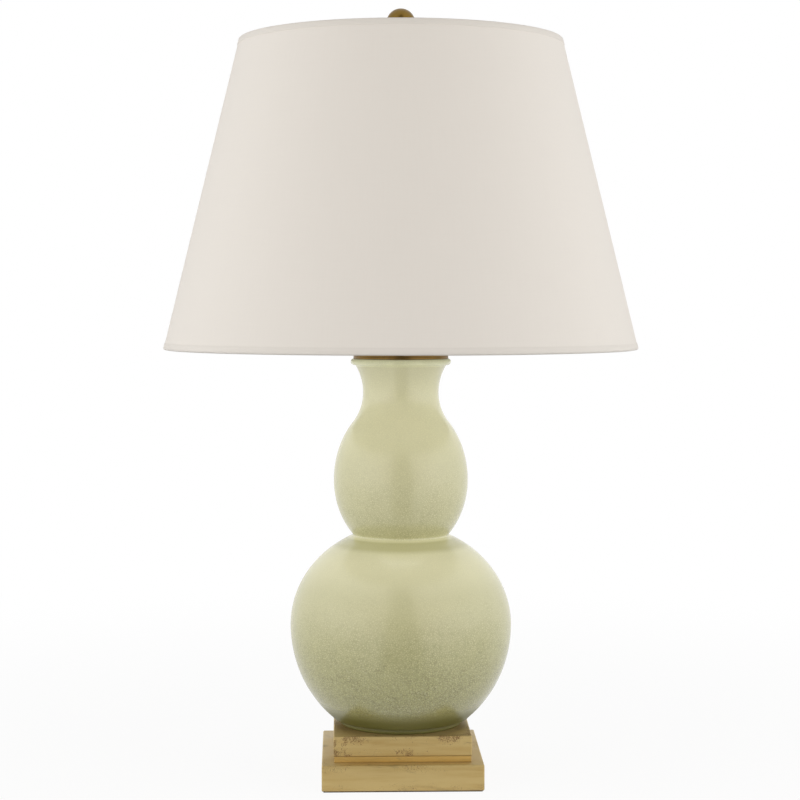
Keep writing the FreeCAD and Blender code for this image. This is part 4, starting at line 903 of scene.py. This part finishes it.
class LAMP_OT_harp(bpy.types.Operator):
    """Dress the harp, its saddle and its sleeves, and turn the threaded swivel stud"""
    bl_idname = "lamp.harp"
    bl_label = "Harp"

    def execute(self, context):
        for node in ("harp", "harp_saddle", "sleeve_left", "sleeve_right"):
            dress(node, "plated_steel", 40.0)
        low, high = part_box("harp_stud")
        shoulder = high.z - STUD_HEIGHT
        points = [(0.0, low.z), (0.0032, low.z)] + arc((0.0034, low.z + 0.0008), 0.0008, -60, 60, 6)
        points += [(0.0038, low.z + 0.0015), (0.0025, low.z + 0.0015), (0.0025, shoulder - 0.0018)]
        points += arc((0.0061, shoulder - 0.0015), 0.0003, -90, 0, 3)
        points += arc((0.0061, shoulder - 0.0003), 0.0003, 0, 90, 3)
        points += rows(STUD_RADIUS, shoulder, high.z - 0.0005, 0.00011) + [(0.0026, high.z), (0.0, high.z)]
        bm = spin_outline(points, 40)
        roll_thread(bm, STUD_RADIUS, STUD_THREAD_DEPTH, STUD_PITCH, shoulder + 0.0006, high.z - 0.0001)
        make_piece(bm, "swivel_stud", "swivel", ["plated_steel"], ["harp_stud"], 50.0)
        return {"FINISHED"}


class LAMP_OT_lampholder(bpy.types.Operator):
    """Dress the keyed lampholder inside and out"""
    bl_idname = "lamp.lampholder"
    bl_label = "Keyed Lampholder"

    def execute(self, context):
        for node in ("socket_cap", "socket_shell", "contact_spring", "terminal_screws", "screw_shell"):
            dress(node, "bright_brass")
        dress("socket_liner", "card")
        for node in ("socket_core", "switch_key"):
            dress(node, "phenolic")
        low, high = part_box("socket_shell")
        for name, height in (("shell_bead_low", low.z + 0.007), ("shell_bead_high", high.z - 0.006)):
            section = arc((SHELL_BEAD_RADIUS - 0.0001, height), SHELL_BEAD_SECTION, 0, 360, 10)[:-1]
            bm = spin_outline(section, 64, close=True)
            make_piece(bm, name, "lamp_base", ["bright_brass"], sharp=60.0)
        return {"FINISHED"}


class LAMP_OT_bulb(bpy.types.Operator):
    """Dress the bulb and roll the thread of its screw cap"""
    bl_idname = "lamp.bulb"
    bl_label = "Bulb"

    def execute(self, context):
        dress("bulb_tip", "zinc_steel")
        dress("bulb_insulator", "phenolic")
        low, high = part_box("bulb_cap")
        points = [(0.0, low.z), (0.0095, low.z), (0.0127, low.z + 0.0032), (BULB_CAP_RADIUS, low.z + 0.0036)]
        points += rows(BULB_CAP_RADIUS, low.z + 0.0040, high.z - 0.0002, 0.00036)
        points += [(0.0129, high.z), (0.0124, high.z)]
        points += [(0.0124, low.z + 0.0041), (0.0089, low.z + 0.0006), (0.0, low.z + 0.0006)]
        bm = spin_outline(points, 72)
        roll_thread(bm, BULB_CAP_RADIUS, BULB_CAP_THREAD_DEPTH, BULB_CAP_PITCH, low.z + 0.0041,
                    high.z - 0.0035)
        make_piece(bm, "bulb_screw_cap", "bulb", ["aluminium"], ["bulb_cap"], 50.0)
        dress("bulb_glass", "glass", 60.0)
        return {"FINISHED"}


class LAMP_OT_finial(bpy.types.Operator):
    """Turn the ball finial and dress its insert"""
    bl_idname = "lamp.finial"
    bl_label = "Ball Finial"

    def execute(self, context):
        low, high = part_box("finial_ball")
        ball = high.x
        centre = high.z - ball
        meet = math.degrees(math.asin(min(1.0, (centre - low.z - 0.012) / ball * 0.94)))
        points = [(0.0, low.z + 0.0117), (0.00436, low.z + 0.0117), (0.00436, low.z), (0.0076, low.z)]
        points += arc((0.0074, low.z + 0.0006), 0.0006, -90, 60, 4)[1:]
        points += [(0.0077, low.z + 0.0018), (0.0080, low.z + 0.0022), (0.0066, low.z + 0.0034),
                   (0.0057, low.z + 0.0052), (0.0056, low.z + 0.0068), (0.0062, low.z + 0.0084),
                   (0.0072, low.z + 0.0096)]
        points += arc((0.0070, low.z + 0.0108), 0.0009, -70, 70, 5)
        points += arc((0, centre), ball, -meet, 90, 30)
        bm = spin_outline(points, 96)
        make_piece(bm, "ball_finial", "finial", ["shaded_finial_brass"], ["finial_ball"], 40.0)
        dress("finial_insert", "bright_brass")
        return {"FINISHED"}


class LAMP_OT_stage(bpy.types.Operator):
    """Set up the pale floor and backdrop, the soft lights and the camera"""
    bl_idname = "lamp.stage"
    bl_label = "Stage"

    def seen_rays(self, graph):
        """1 for rays from the camera, off a gloss or through glass, which all see the plain background."""
        rays = graph.add("ShaderNodeLightPath").outputs
        return graph.math("MAXIMUM", graph.math("MAXIMUM", rays["Is Camera Ray"], rays["Is Glossy Ray"]),
                          rays["Is Transmission Ray"])

    def backdrop_material(self):
        """White paper: nearly self-lit to those rays, dimmer in a gloss where it lies in front of the
        lamp, and a mid grey to the light that it bounces."""
        made, graph, shader, place = material("stage_paper")
        seen = self.seen_rays(graph)
        feed(graph, shader, Base_Color=graph.mix(seen, PAPER_GREY, WHITE), Roughness=1.0,
             Specular_IOR_Level=0.0)
        parts = graph.split(place)
        front = graph.math("MAXIMUM", graph.times(parts[1], -1.0), 0.05)
        aside = graph.math("DIVIDE", graph.math("ABSOLUTE", parts[0]), front)
        ahead = graph.times(graph.ramp(front, 0.12, 0.40), graph.ramp(aside, 0.20, 0.50, 1.0, 0.0))
        glossy = graph.add("ShaderNodeLightPath").outputs["Is Glossy Ray"]
        dim = graph.times(graph.times(ahead, 0.8), glossy)
        white = graph.add("ShaderNodeEmission", {"Color": WHITE, "Strength": graph.minus(1.0, dim)})
        away = graph.add("ShaderNodeVectorMath", {0: place}, operation="LENGTH").outputs["Value"]
        share = graph.times(seen, graph.ramp(away, 0.3, 1.3, 0.92, 1.0))
        mixed = graph.add("ShaderNodeMixShader", {0: share, 1: shader.outputs[0], 2: white.outputs[0]})
        graph.put(made.node_tree.nodes["Material Output"].inputs["Surface"], mixed.outputs[0])
        return made

    def studio_world(self):
        """Light from all round, strongest level with the lamp and even in a gloss. It is darker and
        warmer from the end of the room in front of the lamp."""
        world = bpy.data.worlds.new("studio")
        world.use_nodes = True
        graph = Graph(world.node_tree)
        rays = graph.add("ShaderNodeLightPath").outputs
        glossy = rays["Is Glossy Ray"]
        direct = graph.math("MAXIMUM", rays["Is Camera Ray"], rays["Is Transmission Ray"])
        parts = graph.split(graph.add("ShaderNodeTexCoord").outputs["Generated"])
        forward = graph.times(parts[1], -1.0)
        aside = graph.plus(graph.math("ABSOLUTE", parts[0]),
                           graph.times(graph.math("MAXIMUM", parts[2], 0.0), 0.16))
        across = graph.ramp(aside, 0.18, 0.46, 1.0, 0.0)
        above = graph.ramp(parts[2], 0.78, 1.0, 1.0, 0.0)
        dark_end = graph.times(graph.times(across, graph.ramp(forward, 0.05, 0.45)), above)
        level = graph.ramp(graph.math("ABSOLUTE", parts[2]), 0.04, 0.42, HORIZON, ZENITH)
        even = graph.plus(graph.times(level, graph.minus(1.0, glossy)), glossy)
        lit = graph.times(even, graph.minus(1.0, graph.times(dark_end, 0.95)))
        warmth = graph.times(graph.ramp(forward, 0.2, 1.0), graph.minus(1.0, direct))
        background = world.node_tree.nodes["Background"].inputs
        graph.put(background["Color"], graph.mix(warmth, WHITE, WARM_END))
        graph.put(background["Strength"], graph.math("MAXIMUM", lit, direct))
        return world

    def soft_light(self, name, side):
        """One of the two large soft lights, aimed at the lamp and kept out of its gloss."""
        lamp = bpy.data.lights.new(name, "AREA")
        lamp.shape = "RECTANGLE"
        lamp.size, lamp.size_y = SOFTBOX_SIZE
        lamp.energy = SOFTBOX_POWER
        made = bpy.data.objects.new(name, lamp)
        bpy.context.scene.collection.objects.link(made)
        made.visible_glossy = False
        place = Vector((side * SOFTBOX_PLACE[0], *SOFTBOX_PLACE[1:]))
        made.location = place
        made.rotation_euler = (Vector(SOFTBOX_AIM) - place).to_track_quat("-Z", "Y").to_euler()

    def execute(self, context):
        bm = bmesh.new()
        outline = [(SWEEP_FRONT, 0.0), (SWEEP_BACK, 0.0)]
        outline += arc((SWEEP_BACK, SWEEP_ROUND), SWEEP_ROUND, -90, 0, 12)[1:]
        outline += [(SWEEP_BACK + SWEEP_ROUND, SWEEP_TOP)]
        verts = [bm.verts.new((-SWEEP_SIDE, y, z)) for y, z in outline]
        edges = [bm.edges.new(pair) for pair in zip(verts[:-1], verts[1:])]
        swept = bmesh.ops.extrude_edge_only(bm, edges=edges)["geom"]
        bmesh.ops.translate(bm, vec=(2 * SWEEP_SIDE, 0, 0),
                            verts=[v for v in swept if isinstance(v, bmesh.types.BMVert)])
        bmesh.ops.recalc_face_normals(bm, faces=bm.faces)
        for face in bm.faces:
            face.smooth = True
        mesh = bpy.data.meshes.new("stage_sweep")
        bm.to_mesh(mesh)
        bm.free()
        mesh.materials.append(self.backdrop_material())
        sweep = bpy.data.objects.new("stage_sweep", mesh)
        context.scene.collection.objects.link(sweep)

        self.soft_light("softbox_left", -1)
        self.soft_light("softbox_right", 1)
        context.scene.world = self.studio_world()

        camera = bpy.data.cameras.new("camera")
        camera.sensor_width = 36.0
        camera.lens = CAMERA_LENS
        camera.clip_start, camera.clip_end = 0.05, 50.0
        made = bpy.data.objects.new("camera", camera)
        context.scene.collection.objects.link(made)
        turn = math.radians(CAMERA_TURN)
        made.location = (CAMERA_DISTANCE * math.sin(turn), -CAMERA_DISTANCE * math.cos(turn), CAMERA_HEIGHT)
        aim = Vector(CAMERA_AIM) - made.location
        made.rotation_euler = aim.to_track_quat("-Z", "Y").to_euler()
        context.scene.camera = made
        context.scene.view_settings.view_transform = "Standard"
        return {"FINISHED"}


class LAMP_PT_panel(bpy.types.Panel):
    """Lists the lamp's pieces and its sizes and colours"""
    bl_idname = "LAMP_PT_panel"
    bl_label = "Gourd Lamp"
    bl_space_type = "VIEW_3D"
    bl_region_type = "UI"
    bl_category = "Gourd Lamp"

    def draw(self, context):
        layout = self.layout
        for operator in OPERATORS:
            layout.operator(operator.bl_idname)
        for group in (context.scene.lamp_sizes, context.scene.lamp_finishes):
            column = layout.column(align=True)
            for name in group.__annotations__:
                column.prop(group, name)


OPERATORS = (LAMP_OT_gourd, LAMP_OT_cap, LAMP_OT_plinth, LAMP_OT_hardware, LAMP_OT_shade, LAMP_OT_harp,
             LAMP_OT_lampholder, LAMP_OT_bulb, LAMP_OT_finial, LAMP_OT_stage)
CLASSES = (LampSizes, LampFinishes, *OPERATORS, LAMP_PT_panel)


def register():
    for cls in CLASSES:
        bpy.utils.register_class(cls)
    bpy.types.Scene.lamp_sizes = bpy.props.PointerProperty(type=LampSizes)
    bpy.types.Scene.lamp_finishes = bpy.props.PointerProperty(type=LampFinishes)


def unregister():
    del bpy.types.Scene.lamp_finishes
    del bpy.types.Scene.lamp_sizes
    for cls in reversed(CLASSES):
        bpy.utils.unregister_class(cls)


def main():
    register()
    bpy.ops.lamp.gourd()
    bpy.ops.lamp.cap()
    bpy.ops.lamp.plinth()
    bpy.ops.lamp.hardware()
    bpy.ops.lamp.shade()
    bpy.ops.lamp.harp()
    bpy.ops.lamp.lampholder()
    bpy.ops.lamp.bulb()
    bpy.ops.lamp.finial()
    bpy.ops.lamp.stage()


if __name__ == "__main__":
    main()
